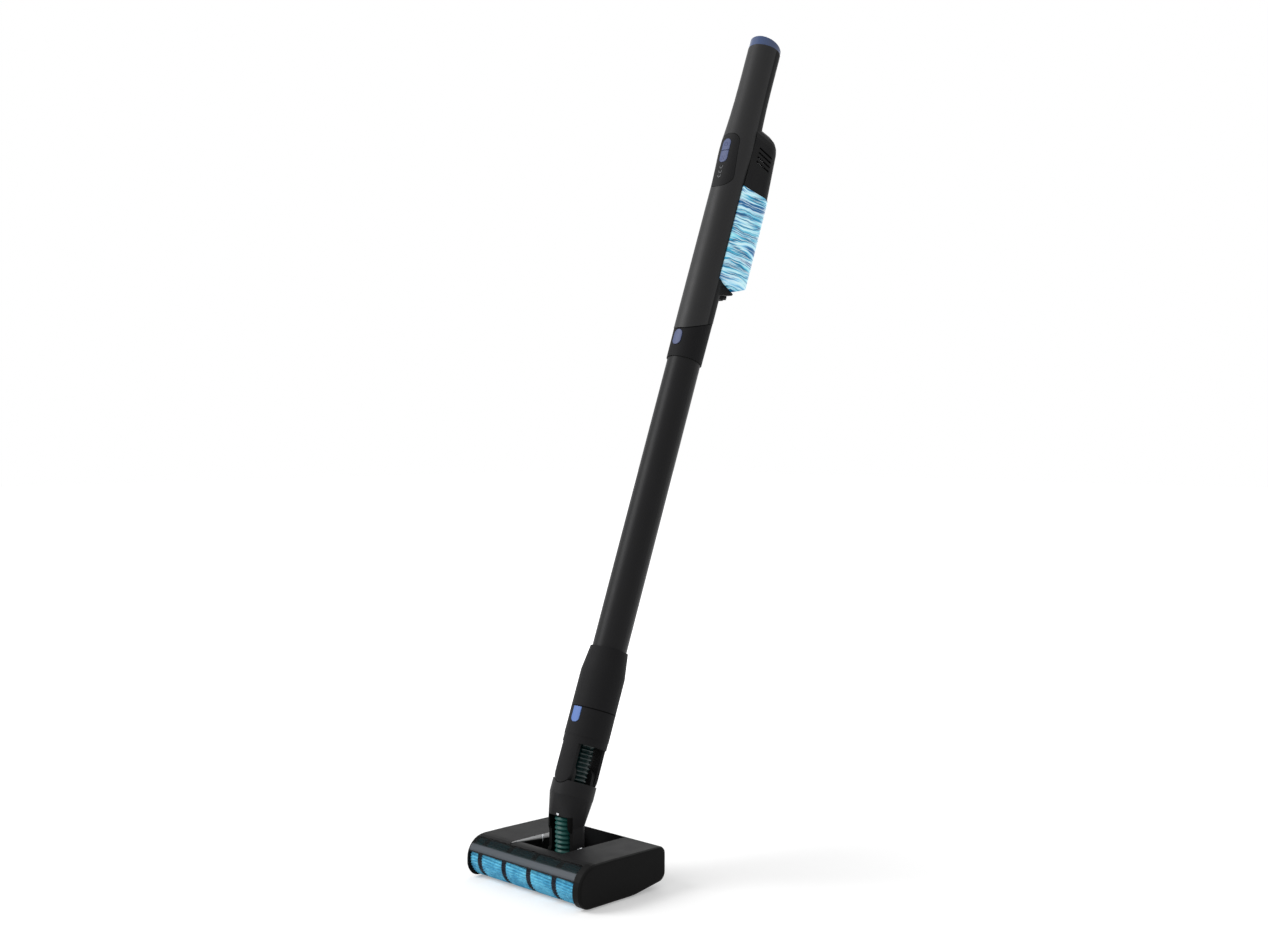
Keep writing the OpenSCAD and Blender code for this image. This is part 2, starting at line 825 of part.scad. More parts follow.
module neck_tube() color(charcoal) {
    on_stick()
        difference() {
            union() {
                rod_z(neck_step, neck_seam, 0, 0, neck_r);
                intersection() {
                    rod_z(tilt_s - tongue_half - 1, neck_step + 1, 0, 0, tongue_r);
                    union() {
                        along_y(-neck_d, neck_d)
                            union() {
                                translate([0, tilt_s]) circle(tongue_half, $fn = round_fn);
                                translate([-tongue_half, tilt_s])
                                    square([2 * tongue_half, neck_step - tilt_s + 1]);
                            }
                        rod_z(tongue_edge, neck_step + 1, 0, 0, neck_d);
                    }
                }
            }
            // room between the tongues for the elbow's lugs and the hose
            block(-neck_d, neck_d, -lug_face - gap, lug_face + gap, tilt_s - 20, tongue_edge);
            rod_z(tongue_edge - 10, neck_step - 3, 0, 0, lug_face + gap);
            rod_z(neck_step - 4, spigot_bottom, 0, 0, hose_r + 0.1);
            rod_z(spigot_bottom - gap, neck_seam + 1, 0, 0, spigot_r + fit);
            for (side = [-1, 1])
                rod_y(side > 0 ? lug_face - 1 : -lug_face - 4.3,
                      side > 0 ? lug_face + 4.3 : 1 - lug_face, 0, tilt_s, pin_r + fit);
            button_pocket();
        }
}

// Shield-shaped outline of the lower release button, as [x, s]
function shield(extra) = rounded([
    [-shield_half - extra, neck_seam + 1, 0], [shield_half + extra, neck_seam + 1, 0],
    [shield_half + extra, neck_seam - shield_height - extra, shield_half - 0.8 + extra],
    [-shield_half - extra, neck_seam - shield_height - extra, shield_half - 0.8 + extra]], 8);

module button_pocket() {
    along_y(-neck_d, lower_button_back + lower_button_travel + 0.6) polygon(shield(gap));
}

module lower_release_button() color(slate_blue) {
    on_stick()
        intersection() {
            along_y(-neck_d, lower_button_back) polygon(shield(0));
            rod_z(0, neck_seam - 0.1, 0, -0.6, neck_r);
        }
}

module lower_button_spring() color(steel) {
    on_stick()
        translate([0, lower_button_back + 0.05, neck_seam - 10])
            rotate([-90, 0, 0]) coil(lower_button_travel + 0.5, 2.6, 0.3, 3);
}

module upper_hose() color(hose_green) {
    on_stick()
        translate([0, 0, elbow_low - 14])
            corrugated(spigot_bottom - 0.8 - elbow_low + 14, hose_r, hose_r - 2.4, 5);
}

module neck_seal() color(rubber) {
    on_stick()
        rotate_extrude($fn = round_fn)
            polygon([[spigot_r - 1.6, spigot_bottom + 6], [spigot_r, spigot_bottom + 6],
                     [spigot_r, spigot_bottom + 9], [spigot_r - 1.6, spigot_bottom + 9]]);
}

// ---- wand -------------------------------------------------------------

module wand_foot() color(charcoal) {
    on_stick()
        difference() {
            union() {
                hull() {
                    rod_z(neck_seam, neck_seam + 46, 0, 0, neck_r);
                    rod_z(foot_top - 15, foot_top - 14, 0, 0, neck_r - 2.4);
                    rod_z(foot_top - 1, foot_top, 0, 0, wand_r + 2.1);
                }
                rod_z(spigot_bottom, neck_seam + 1, 0, 0, spigot_r);
            }
            rod_z(tube_seat, foot_top + 1, 0, 0, wand_r + fit);
            rod_z(spigot_bottom - 1, tube_seat + 1, 0, 0, spigot_r - 3.5);
            difference() {
                rod_z(spigot_bottom + 6, spigot_bottom + 9, 0, 0, spigot_r + 1);
                rod_z(spigot_bottom, spigot_bottom + 10, 0, 0, spigot_r - 1.6);
            }
        }
}

module wand_tube() color(jet) {
    on_stick() tube_z(tube_seat, tube_end, wand_r, wand_r - wand_wall);
}

// The slanted plane between the wand and the hand unit, as a half-space below it
module below_seam(drop = 0) {
    along_x(-60, 60)
        polygon([[-60, 0], [60, 0], [60, hand_seam + 60 * seam_slope - drop],
                 [-60, hand_seam - 60 * seam_slope - drop]]);
}

module oval(s, half_w, half_h) {
    polygon(rounded([
        [-half_w, s - half_h, half_w - 0.3], [half_w, s - half_h, half_w - 0.3],
        [half_w, s + half_h, half_w - 0.3], [-half_w, s + half_h, half_w - 0.3]], 10));
}

module wand_collar() color(charcoal) {
    on_stick()
        difference() {
            intersection() {
                translate([0, 0, collar_bottom])
                    cylinder(h = 90, r1 = collar_r - 0.1, r2 = collar_r + 0.6, $fn = round_fn);
                below_seam(seam);
            }
            rod_z(collar_bottom - 1, tube_end, 0, 0, wand_r + fit);
            rod_z(collar_bottom, collar_bottom + 91, 0, 0, nozzle_r + fit);
            along_y(-tube_d, upper_button_back + upper_button_travel + 0.5)
                oval(upper_button_s, button_half + gap, upper_button_half + gap);
        }
}

module upper_release_button() color(slate_blue) {
    on_stick()
        intersection() {
            along_y(-tube_d, upper_button_back)
                oval(upper_button_s, button_half, upper_button_half);
            rod_z(collar_bottom, hand_seam, 0, -0.3, collar_r + 0.6);
        }
}

module upper_button_spring() color(steel) {
    on_stick()
        translate([0, upper_button_back + 0.05, upper_button_s])
            rotate([-90, 0, 0]) coil(upper_button_travel + 0.4, 2.6, 0.25, 3);
}

// ---- hand unit --------------------------------------------------------

// Solid or hollow body of revolution with the hand unit's profile
module hand_round(inset, low, high) {
    intersection() {
        rotate_extrude($fn = round_fn)
            polygon(concat([[0, hand_profile[0][0]]],
                           [for (p = hand_profile) [p[1] - inset, p[0]]],
                           [[0, grip_top]]));
        rod_z(low, high, 0, 0, 60);
    }
}

module hand_skin(low, high) {
    difference() {
        hand_round(0, low, high);
        hand_round(hand_wall, low - 1, high + 1);
    }
}

module front_half() {
    block(-80, 80, -80, 0, 0, 1200);
}

module rear_half() {
    block(-80, 80, 0, 80, 0, 1200);
}

// The plane on which the dust cup meets the motor housing, as the space above it
module above_cup(drop = 0) {
    along_x(-60, 60)
        polygon([[-60, cup_top + 60 * cup_slope - drop], [90, cup_top - 90 * cup_slope - drop],
                 [90, 1200], [-60, 1200]]);
}

module grip_post(s, side) {
    rod_y(side > 0 ? 0 : -grip_r + 1, side > 0 ? grip_r - 1 : 0, 0, s, post_r);
}

// Outline of the control panel as [x, s]
module panel_outline(extra) {
    polygon(rounded([
        [-panel_half - extra, panel_low - extra, panel_half - 2],
        [panel_half + extra, panel_low - extra, panel_half - 2],
        [panel_half + extra - 3, panel_top + extra, 12],
        [-panel_half - extra + 3, panel_top + extra, 12]], 10));
}

module front_shell() color(charcoal) {
    on_stick()
        difference() {
            union() {
                difference() {
                    intersection() {
                        hand_skin(hand_profile[0][0], grip_top);
                        front_half();
                    }
                    below_seam();
                    along_y(-80, -10) panel_outline(panel_gap);
                }
                intersection() {
                    for (s = grip_screw_s) grip_post(s, -1);
                    hand_round(1, housing_top, grip_top);
                }
                // half rings that hold the inlet pipe
                for (s = [hand_seam + 20, cup_top - 30])
                    intersection() {
                        tube_z(s, s + 3, tube_r - 1, nozzle_r + fit);
                        front_half();
                    }
            }
            for (s = grip_screw_s) rod_y(-grip_r + 5, 1, 0, s, grip_screw_r + fit);
        }
}

module rear_tube_shell() color(jet) {
    on_stick() {
        difference() {
            union() {
                intersection() {
                    hand_skin(hand_profile[0][0], cup_top + 4);
                    rear_half();
                }
                for (s = [hand_seam + 30, cup_top - 40])
                    intersection() {
                        tube_z(s, s + 3, tube_r - 1, nozzle_r + fit);
                        rear_half();
                    }
            }
            below_seam();
            above_cup();
            // the port from the inlet pipe to the dust cup
            block(-port_half, port_half, 0, 40, port_s, port_s + port_height);
        }
        // cheeks under the cup, and the cross bar that carries the latch
        difference() {
            union() {
                for (side = [-1, 1]) {
                    along_x(side > 0 ? latch_half + gap : -cheek_half,
                            side > 0 ? cheek_half : -latch_half - gap)
                        polygon([[8, chamfer_s(8) - gap], [cheek_back, chamfer_s(cheek_back) - gap],
                                 [cheek_back - 1.5, cup_bottom - 4], [12, cup_bottom - 12],
                                 [8, cup_bottom - 14]]);
                    block(side > 0 ? latch_half + gap : -latch_half - gap - 2,
                          side > 0 ? latch_half + gap + 2 : -latch_half - gap,
                          tube_r - 5, latch_front + 5.5, latch_bar - 2.5, cup_bottom - 4);
                }
                block(-latch_half - gap, latch_half + gap, tube_r - 2, latch_front + 5.5,
                      latch_bar - 2.5, latch_bar);
            }
            rod_z(cup_bottom - 30, cup_bottom + 30, 0, 0, tube_r - hand_wall / 2);
        }
    }
}

module inlet_pipe() color(charcoal) {
    on_stick()
        difference() {
            rod_z(nozzle_bottom, cup_top - 12, 0, 0, nozzle_r);
            rod_z(nozzle_bottom - 1, cup_top - 14, 0, 0, nozzle_r - nozzle_wall);
            block(-port_half, port_half, 0, 40, port_s, port_s + port_height);
        }
}

module nozzle_seal() color(rubber) {
    on_stick() tube_z(nozzle_bottom - 2.2, nozzle_bottom - 0.2, nozzle_r - 0.6, nozzle_r - 2.2);
}

// Section of the motor housing: round at the rear, straight sides
module housing_slab(s, half, centre, inset, depth = 1) {
    translate([0, 0, s])
        linear_extrude(depth)
            union() {
                translate([inset - half, 0]) square([2 * half - 2 * inset, centre]);
                translate([0, centre]) circle(half - inset, $fn = 48);
            }
}

module housing_solid(inset) {
    hull() {
        housing_slab(cup_top - 4, cup_half, cup_centre - 1, inset);
        housing_slab(housing_top - 59, cup_half, cup_centre - 6, inset);
        housing_slab(housing_top - 24 - inset, cup_half, cup_centre - 6.5, inset);
        housing_slab(housing_top - 17 - inset, cup_half - 1, cup_centre - 7, inset);
        housing_slab(housing_top - 11 - inset, cup_half - 3.5, cup_centre - 8, inset);
        housing_slab(housing_top - 6 - inset, cup_half - 8, cup_centre - 10, inset);
        housing_slab(housing_top - 1 - inset, cup_half - 16, cup_centre - 15, inset);
    }
}

module motor_housing() color(jet) {
    on_stick()
        difference() {
            intersection() {
                difference() {
                    union() {
                        housing_solid(0);
                        hand_round(0, cup_top - 40, housing_top);
                    }
                    difference() {
                        union() {
                            housing_solid(hand_wall);
                            hand_round(hand_wall, cup_top - 60, housing_top + 1);
                        }
                        // floor plate over the dust cup
                        difference() {
                            block(-60, 60, -1, 90, cup_top - 60, housing_top);
                            above_cup(-hand_wall * 1.1);
                        }
                    }
                }
                above_cup();
                rear_half();
            }
            rod_z(cup_top - 60, fan_s - 12, 0, core_y, core_r + 1);
            rod_z(socket_top - 12, housing_top + 20, 0, socket_y, socket_r + seam);
            // slanted exhaust slots on both sides
            for (side = [-1, 1], i = [0:3])
                translate([side * cup_half, fan_y - 6, bump_s - 9 + 6.5 * i])
                    rotate([-4, 0, 0])
                        translate([-5, -14, -1.2]) cube([10, 28, 2.4]);
        }
}

module rear_grip() color(jet) {
    on_stick()
        difference() {
            union() {
                intersection() {
                    hand_skin(housing_top + seam, grip_top);
                    rear_half();
                }
                intersection() {
                    for (s = grip_screw_s) grip_post(s, 1);
                    hand_round(1, housing_top + seam, grip_top);
                }
            }
            for (s = grip_screw_s) {
                rod_y(-1, grip_r + 2, 0, s, grip_screw_r + fit);
                rod_y(grip_r - grip_head_t, grip_r + 2, 0, s, screw_head_r + seam);
            }
        }
}

module grip_screws() color(steel) {
    on_stick()
        for (s = grip_screw_s) {
            rod_y(-12, grip_r - grip_head_t, 0, s, grip_screw_r);
            rod_y(grip_r - grip_head_t, grip_r - 0.7, 0, s, screw_head_r);
        }
}

// One half of the long oval that the two panel buttons share
module panel_button_outline(upper, extra) {
    intersection() {
        oval(button_mid, button_half + extra, button_reach + extra);
        translate([-20, upper ? button_mid + 0.5 - extra : button_mid - 40])
            square([40, 39.5 + extra]);
    }
}

module control_panel() color(charcoal) {
    on_stick()
        difference() {
            union() {
                intersection() {
                    difference() {
                        hand_round(0, panel_low - 1, panel_top + 1);
                        hand_round(panel_t, panel_low - 2, panel_top + 2);
                    }
                    along_y(-80, -12) panel_outline(0);
                }
                // posts that carry the circuit board
                for (side = [-1, 1], s = [panel_low + 9, panel_top - 10])
                    intersection() {
                        block(side * 10.5 - 1.5, side * 10.5 + 1.5, -bump_r, board_y - board_t,
                              s, s + 3);
                        hand_round(1, panel_low, panel_top);
                    }
            }
            along_y(-80, 0) oval(button_mid, button_half + gap, button_reach + gap);
            for (s = light_s) rod_y(-60, 0, 0, s, light_r + fit);
        }
}

module panel_button(upper) color(upper ? slate_blue : [0.43, 0.57, 0.80]) {
    on_stick()
        intersection() {
            along_y(-80, button_back) panel_button_outline(upper, 0);
            translate([0, -0.5, 0]) hand_round(0, panel_low, panel_top);
        }
}

module power_button() {
    panel_button(true);
}

module mode_button() {
    panel_button(false);
}

module panel_spring(s) color(steel) {
    on_stick()
        translate([0, button_back + 0.05, s])
            rotate([-90, 0, 0]) coil(board_y - board_t - 0.05 - button_back, 2.4, 0.3, 4);
}

module power_button_spring() {
    panel_spring(button_mid + 9);
}

module mode_button_spring() {
    panel_spring(button_mid - 9);
}

module indicator_lights() color([0.75, 0.85, 0.95]) {
    on_stick()
        for (s = light_s)
            intersection() {
                rod_y(-60, board_y - board_t, 0, s, light_r);
                hand_round(0.2, panel_low, panel_top);
            }
}

module circuit_board() color([0.10, 0.35, 0.20]) {
    on_stick() {
        block(-13, 13, board_y - board_t, board_y, panel_low + 7, panel_top - 5);
        block(-8, 8, board_y, board_y + 2.5, panel_low + 22, panel_low + 34);
    }
}

module fan_motor() color(steel) {
    on_stick() {
        difference() {
            union() {
                rod_z(fan_s, fan_s + fan_height, 0, fan_y, fan_r);
                rod_z(fan_s + fan_height, fan_s + fan_height + 4, 0, fan_y, 8);
                // rubber-mounted flange that seats in the housing
                rod_z(fan_s + 2, fan_s + 5, 0, fan_y, cup_half - hand_wall - gap);
            }
            rod_z(fan_s - 1, fan_s + 6, 0, fan_y, 3);
        }
    }
}

module impeller() color([0.82, 0.83, 0.85]) {
    on_stick() {
        rod_z(fan_s - 11, fan_s - 9.6, 0, fan_y, fan_r - 3);
        rod_z(fan_s - 11, fan_s + 4, 0, fan_y, 2.5);
        for (i = [0:8])
            translate([0, fan_y, fan_s - 9.8])
                rotate([0, 0, 40 * i])
                    translate([2, -0.6, 0]) cube([fan_r - 5.5, 1.2, 6.5]);
    }
}

module battery_cells() color([0.25, 0.45, 0.30]) {
    on_stick()
        for (side = [-1, 1])
            rod_z(cells_low, cells_low + cell_length, side * (cell_r + 0.2), 0, cell_r);
}

module battery_holder() color(jet) {
    on_stick() {
        for (s = [cells_low - 3, cells_low + cell_length])
            intersection() {
                rod_z(s, s + 3, 0, 0, grip_r - hand_wall - 0.3);
                block(-30, 30, -15, 15, s, s + 3);
            }
        block(-3, 3, cell_r + 0.4, cell_r + 2.4, cells_low - 1, cells_low + cell_length + 1);
    }
}

module charge_socket() color(rubber) {
    on_stick()
        difference() {
            rod_z(socket_top - 13, socket_top, 0, socket_y, socket_r);
            rod_z(socket_top - socket_depth, socket_top + 1, 0, socket_y, plug_d / 2);
        }
}

module end_cap() color([0.29, 0.37, 0.60]) {
    on_stick()
        difference() {
            intersection() {
                rod_z(grip_top - 4, grip_top + 30, 0, 0, grip_r);
                translate([0, -6, grip_top - 15]) sphere(r = 32, $fn = round_fn);
            }
            difference() {
                rod_z(grip_top - 5, grip_top, 0, 0, grip_r + 1);
                rod_z(grip_top - 5, grip_top, 0, 0, grip_r - hand_wall - 0.1);
            }
            rod_z(grip_top - 5, grip_top + 1, 0, 0, grip_r - hand_wall - 2);
        }
}

// ---- dust cup ---------------------------------------------------------

// Section of the cup: it hugs the tube and is round at the rear
module cup_section(inset) {
    difference() {
        union() {
            translate([inset - cup_half, cup_front + inset])
                square([2 * cup_half - 2 * inset, cup_centre - cup_front - inset]);
            translate([0, cup_centre]) circle(cup_half - inset, $fn = round_fn);
        }
        circle(tube_r + gap + inset, $fn = round_fn);
    }
}

// Side outline of the cup as [y, s]; its top edge is cut by the slanted plane
module cup_side(inset, rise = 0) {
    low = cup_bottom + inset;
    rear = cup_rear - inset;
    reach = rear - 4 - chamfer_y;
    polygon([
        [cup_front - 1, chamfer_s(cup_front - 1) + inset], [chamfer_y, low],
        [rear - 4, low + reach * bottom_slope], [rear, low + reach * bottom_slope + 7],
        [rear, cup_top - cup_rear * cup_slope - gasket_drop + rise],
        [cup_front - 1, cup_top - (cup_front - 1) * cup_slope - gasket_drop + rise]]);
}

module cup_solid(inset, rise) {
    intersection() {
        translate([0, 0, cup_bottom - 5]) linear_extrude(cup_length + 20) cup_section(inset);
        along_x(-60, 60) cup_side(inset, rise);
    }
}

module dust_cup() color([0.45, 0.80, 0.92, 0.6]) {
    on_stick()
        difference() {
            cup_solid(0, 0);
            cup_solid(cup_wall, 5);
            block(-port_half, port_half, 0, tube_r + gap + cup_wall + 1, port_s,
                  port_s + port_height);
        }
}

module cup_gasket() color(rubber) {
    on_stick()
        intersection() {
            difference() {
                translate([0, 0, cup_bottom]) linear_extrude(cup_length + 20) cup_section(0.2);
                translate([0, 0, cup_bottom - 1]) linear_extrude(cup_length + 22) cup_section(cup_wall);
            }
            difference() {
                above_cup(gasket_drop);
                above_cup(gasket_drop * gap / (gasket_t + gap));
            }
        }
}

module dust_filter() color([0.88, 0.88, 0.84]) {
    on_stick() {
        tube_z(screen_top - 40, screen_top, core_r, core_r - 5, core_y);
        // flange that hangs the filter in the mouth of the cup
        intersection() {
            difference() {
                translate([0, 0, cup_bottom]) linear_extrude(cup_length + 20)
                    cup_section(cup_wall + 0.05);
                rod_z(cup_bottom, cup_top + 30, 0, core_y, 5);
                block(-6, 6, core_y + 14, cup_rear, cup_bottom, cup_top + 30);
            }
            difference() {
                above_cup(gasket_drop + 4.2);
                above_cup(gasket_drop + 1.2);
            }
            block(-60, 60, tube_r + gap + cup_wall, cup_rear - 12, cup_bottom, cup_top + 30);
        }
    }
}

module mesh_screen() color([0.70, 0.72, 0.74]) {
    on_stick()
        translate([0, core_y, screen_top - 78])
            difference() {
                cylinder(h = 38, r1 = core_r - 3, r2 = core_r, $fn = round_fn);
                translate([0, 0, 1.2]) cylinder(h = 38, r1 = core_r - 4, r2 = core_r - 1, $fn = round_fn);
            }
}

// Height along the stick of the cup's chamfer at y, and of its line further back
function chamfer_s(y) = cup_bottom + chamfer_rise * (chamfer_y - y) / (chamfer_y - cup_front);

module cup_latch() color(jet) {
    on_stick()
        difference() {
            along_x(-latch_half, latch_half)
                polygon([[latch_front, latch_low], [latch_back, latch_low],
                         [latch_back, chamfer_s(latch_back) - gap],
                         [latch_front, chamfer_s(latch_front) - gap]]);
            rod_z(latch_low - 1, latch_spring_top, 0, latch_front + 3, 2.7);
            // thumb ribs
            for (i = [0:2])
                block(-latch_half - 1, latch_half + 1, latch_back - 0.8, latch_back + 1,
                      latch_low + 0.7 + 1.8 * i, latch_low + 1.6 + 1.8 * i);
        }
}

module latch_spring() color(steel) {
    low = latch_bar + 0.05;
    on_stick()
        translate([0, latch_front + 3, low]) coil(latch_spring_top - 0.05 - low, 2.2, 0.3, 4);
}

base_shell();
top_cover();
left_end_cap();
right_end_cap();
front_window();
roller_core();
roller_plush();
bristle_rings();
roller_bearings();
roller_pulley();
drive_belt();
brush_motor();
motor_pulley();
suction_duct();
left_rear_wheel();
right_rear_wheel();
wheel_axles();
mouth_strip();
pitch_pins();
head_screws();
elbow_shell();
lower_hose();
knee_stud();
tilt_pins();
neck_tube();
upper_hose();
lower_release_button();
lower_button_spring();
wand_foot();
wand_tube();
wand_collar();
neck_seal();
upper_release_button();
upper_button_spring();
nozzle_seal();
inlet_pipe();
front_shell();
rear_tube_shell();
motor_housing();
rear_grip();
control_panel();
power_button();
mode_button();
power_button_spring();
mode_button_spring();
indicator_lights();
circuit_board();
fan_motor();
impeller();
battery_cells();
battery_holder();
charge_socket();
end_cap();
grip_screws();
dust_cup();
cup_gasket();
dust_filter();
mesh_screen();
cup_latch();
latch_spring();
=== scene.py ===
"""Dresses the cordless stick vacuum: finishes, roller pile, hoses, painted seam shadows, studio
and camera.

Finishes and the studio are in metres. Sub-assemblies and sketches are in millimetres.
"""

import logging
import math
from collections.abc import Iterable, Mapping, Sequence
from dataclasses import dataclass, field
from enum import Enum
from functools import cache
from typing import Any

import bmesh
import bpy
from mathutils import Matrix, Vector


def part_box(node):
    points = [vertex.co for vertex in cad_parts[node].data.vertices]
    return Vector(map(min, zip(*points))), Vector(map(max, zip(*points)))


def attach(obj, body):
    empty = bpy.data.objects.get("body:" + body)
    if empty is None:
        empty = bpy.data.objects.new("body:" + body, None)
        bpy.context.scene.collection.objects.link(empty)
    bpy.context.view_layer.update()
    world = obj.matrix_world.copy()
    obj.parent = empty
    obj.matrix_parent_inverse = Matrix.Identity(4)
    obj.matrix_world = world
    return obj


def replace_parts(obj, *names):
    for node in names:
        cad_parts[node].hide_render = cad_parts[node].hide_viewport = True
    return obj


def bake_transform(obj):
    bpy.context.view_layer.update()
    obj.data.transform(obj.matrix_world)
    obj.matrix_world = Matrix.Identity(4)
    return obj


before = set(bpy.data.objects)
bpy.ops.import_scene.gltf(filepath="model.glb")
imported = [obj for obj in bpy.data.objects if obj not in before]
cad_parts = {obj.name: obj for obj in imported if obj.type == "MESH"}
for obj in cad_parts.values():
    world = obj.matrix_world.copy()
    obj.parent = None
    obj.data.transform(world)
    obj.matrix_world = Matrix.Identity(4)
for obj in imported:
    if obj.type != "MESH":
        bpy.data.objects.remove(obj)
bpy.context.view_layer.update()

log = logging.getLogger("stick_vacuum")

Colour = tuple[float, float, float]
Point = tuple[float, float, float]
Span = tuple[float, float]

MM = 0.001
LEAN = math.radians(20.8)
KNEE = Vector((0.0, 3.5, 82.6))
HEAD_FRAME = Matrix.Identity(4)
STICK_FRAME = Matrix.Translation(KNEE) @ Matrix.Rotation(-LEAN, 4, "X")
ACROSS_FRAME = Matrix.Rotation(math.pi / 2, 4, "Y")


class Axis(Enum):
    """An axis, with the number of its component."""

    X = 0
    Y = 1
    Z = 2


class Side(Enum):
    """A side of the head, with the sign of its X."""

    LEFT = -1
    RIGHT = 1


def srgb(red: float, green: float, blue: float) -> Colour:
    """Turns a display colour into the linear colour that shaders use.

    Args:
        red: Red from 0 to 255.
        green: Green from 0 to 255.
        blue: Blue from 0 to 255.

    Returns:
        The linear red, green and blue, from 0 to 1.
    """

    def linear(value: float) -> float:
        """One channel of the display curve."""
        v = value / 255
        return v / 12.92 if v <= 0.04045 else ((v + 0.055) / 1.055) ** 2.4

    return linear(red), linear(green), linear(blue)


def shade(colour: Colour, factor: float) -> Colour:
    """A lighter or darker copy of a linear colour."""
    return tuple(min(1.0, channel * factor) for channel in colour)


# ---- shader expressions -----------------------------------------------------


@dataclass(frozen=True)
class Pattern:
    """A fractal noise: features per metre, octaves of finer noise, and distortion."""

    per_metre: float
    detail: float = 2.0
    warp: float = 0.0


class Signal:
    """A shader socket that takes part in Python expressions."""

    def __init__(self, graph: "Graph", socket: bpy.types.NodeSocket) -> None:
        """Wraps an output socket of one of the graph's nodes."""
        self.graph = graph
        self.socket = socket

    def _math(self, operation: str, *values: "Signal | float") -> "Signal":
        """Adds the Math node for one operation."""
        sockets = dict(enumerate(values))
        return self.graph.node("ShaderNodeMath", {"operation": operation}, sockets)

    def __add__(self, other: "Signal | float") -> "Signal":
        """Sum of two signals."""
        return self._math("ADD", self, other)

    def __sub__(self, other: "Signal | float") -> "Signal":
        """Difference of two signals."""
        return self._math("SUBTRACT", self, other)

    def __rsub__(self, other: float) -> "Signal":
        """A number less a signal."""
        return self._math("SUBTRACT", other, self)

    def __mul__(self, other: "Signal | float") -> "Signal":
        """Product of two signals."""
        return self._math("MULTIPLY", self, other)

    def __truediv__(self, other: "Signal | float") -> "Signal":
        """Quotient of two signals."""
        return self._math("DIVIDE", self, other)

    def __rtruediv__(self, other: float) -> "Signal":
        """A number divided by a signal."""
        return self._math("DIVIDE", other, self)

    __radd__ = __add__
    __rmul__ = __mul__

    def larger(self, other: "Signal | float") -> "Signal":
        """The larger of two signals."""
        return self._math("MAXIMUM", self, other)

    def magnitude(self) -> "Signal":
        """The signal without its sign."""
        return self._math("ABSOLUTE", self)

    def swing(self, width: float) -> "Signal":
        """A signal from 0 to 1 made a swing of that width about 0."""
        return (self - 0.5) * width

    def above(self, low: float, high: float) -> "Signal":
        """A smooth step from 0 at low to 1 at high.

        Args:
            low: Value at and below which the step is 0.
            high: Value at and above which the step is 1.

        Returns:
            The stepped signal.
        """
        return self.graph.node(
            "ShaderNodeMapRange",
            {"interpolation_type": "SMOOTHSTEP"},
            {"Value": self, "From Min": low, "From Max": high},
        )

    def below(self, low: float, high: float) -> "Signal":
        """A smooth step from 1 at low to 0 at high."""
        return 1 - self.above(low, high)


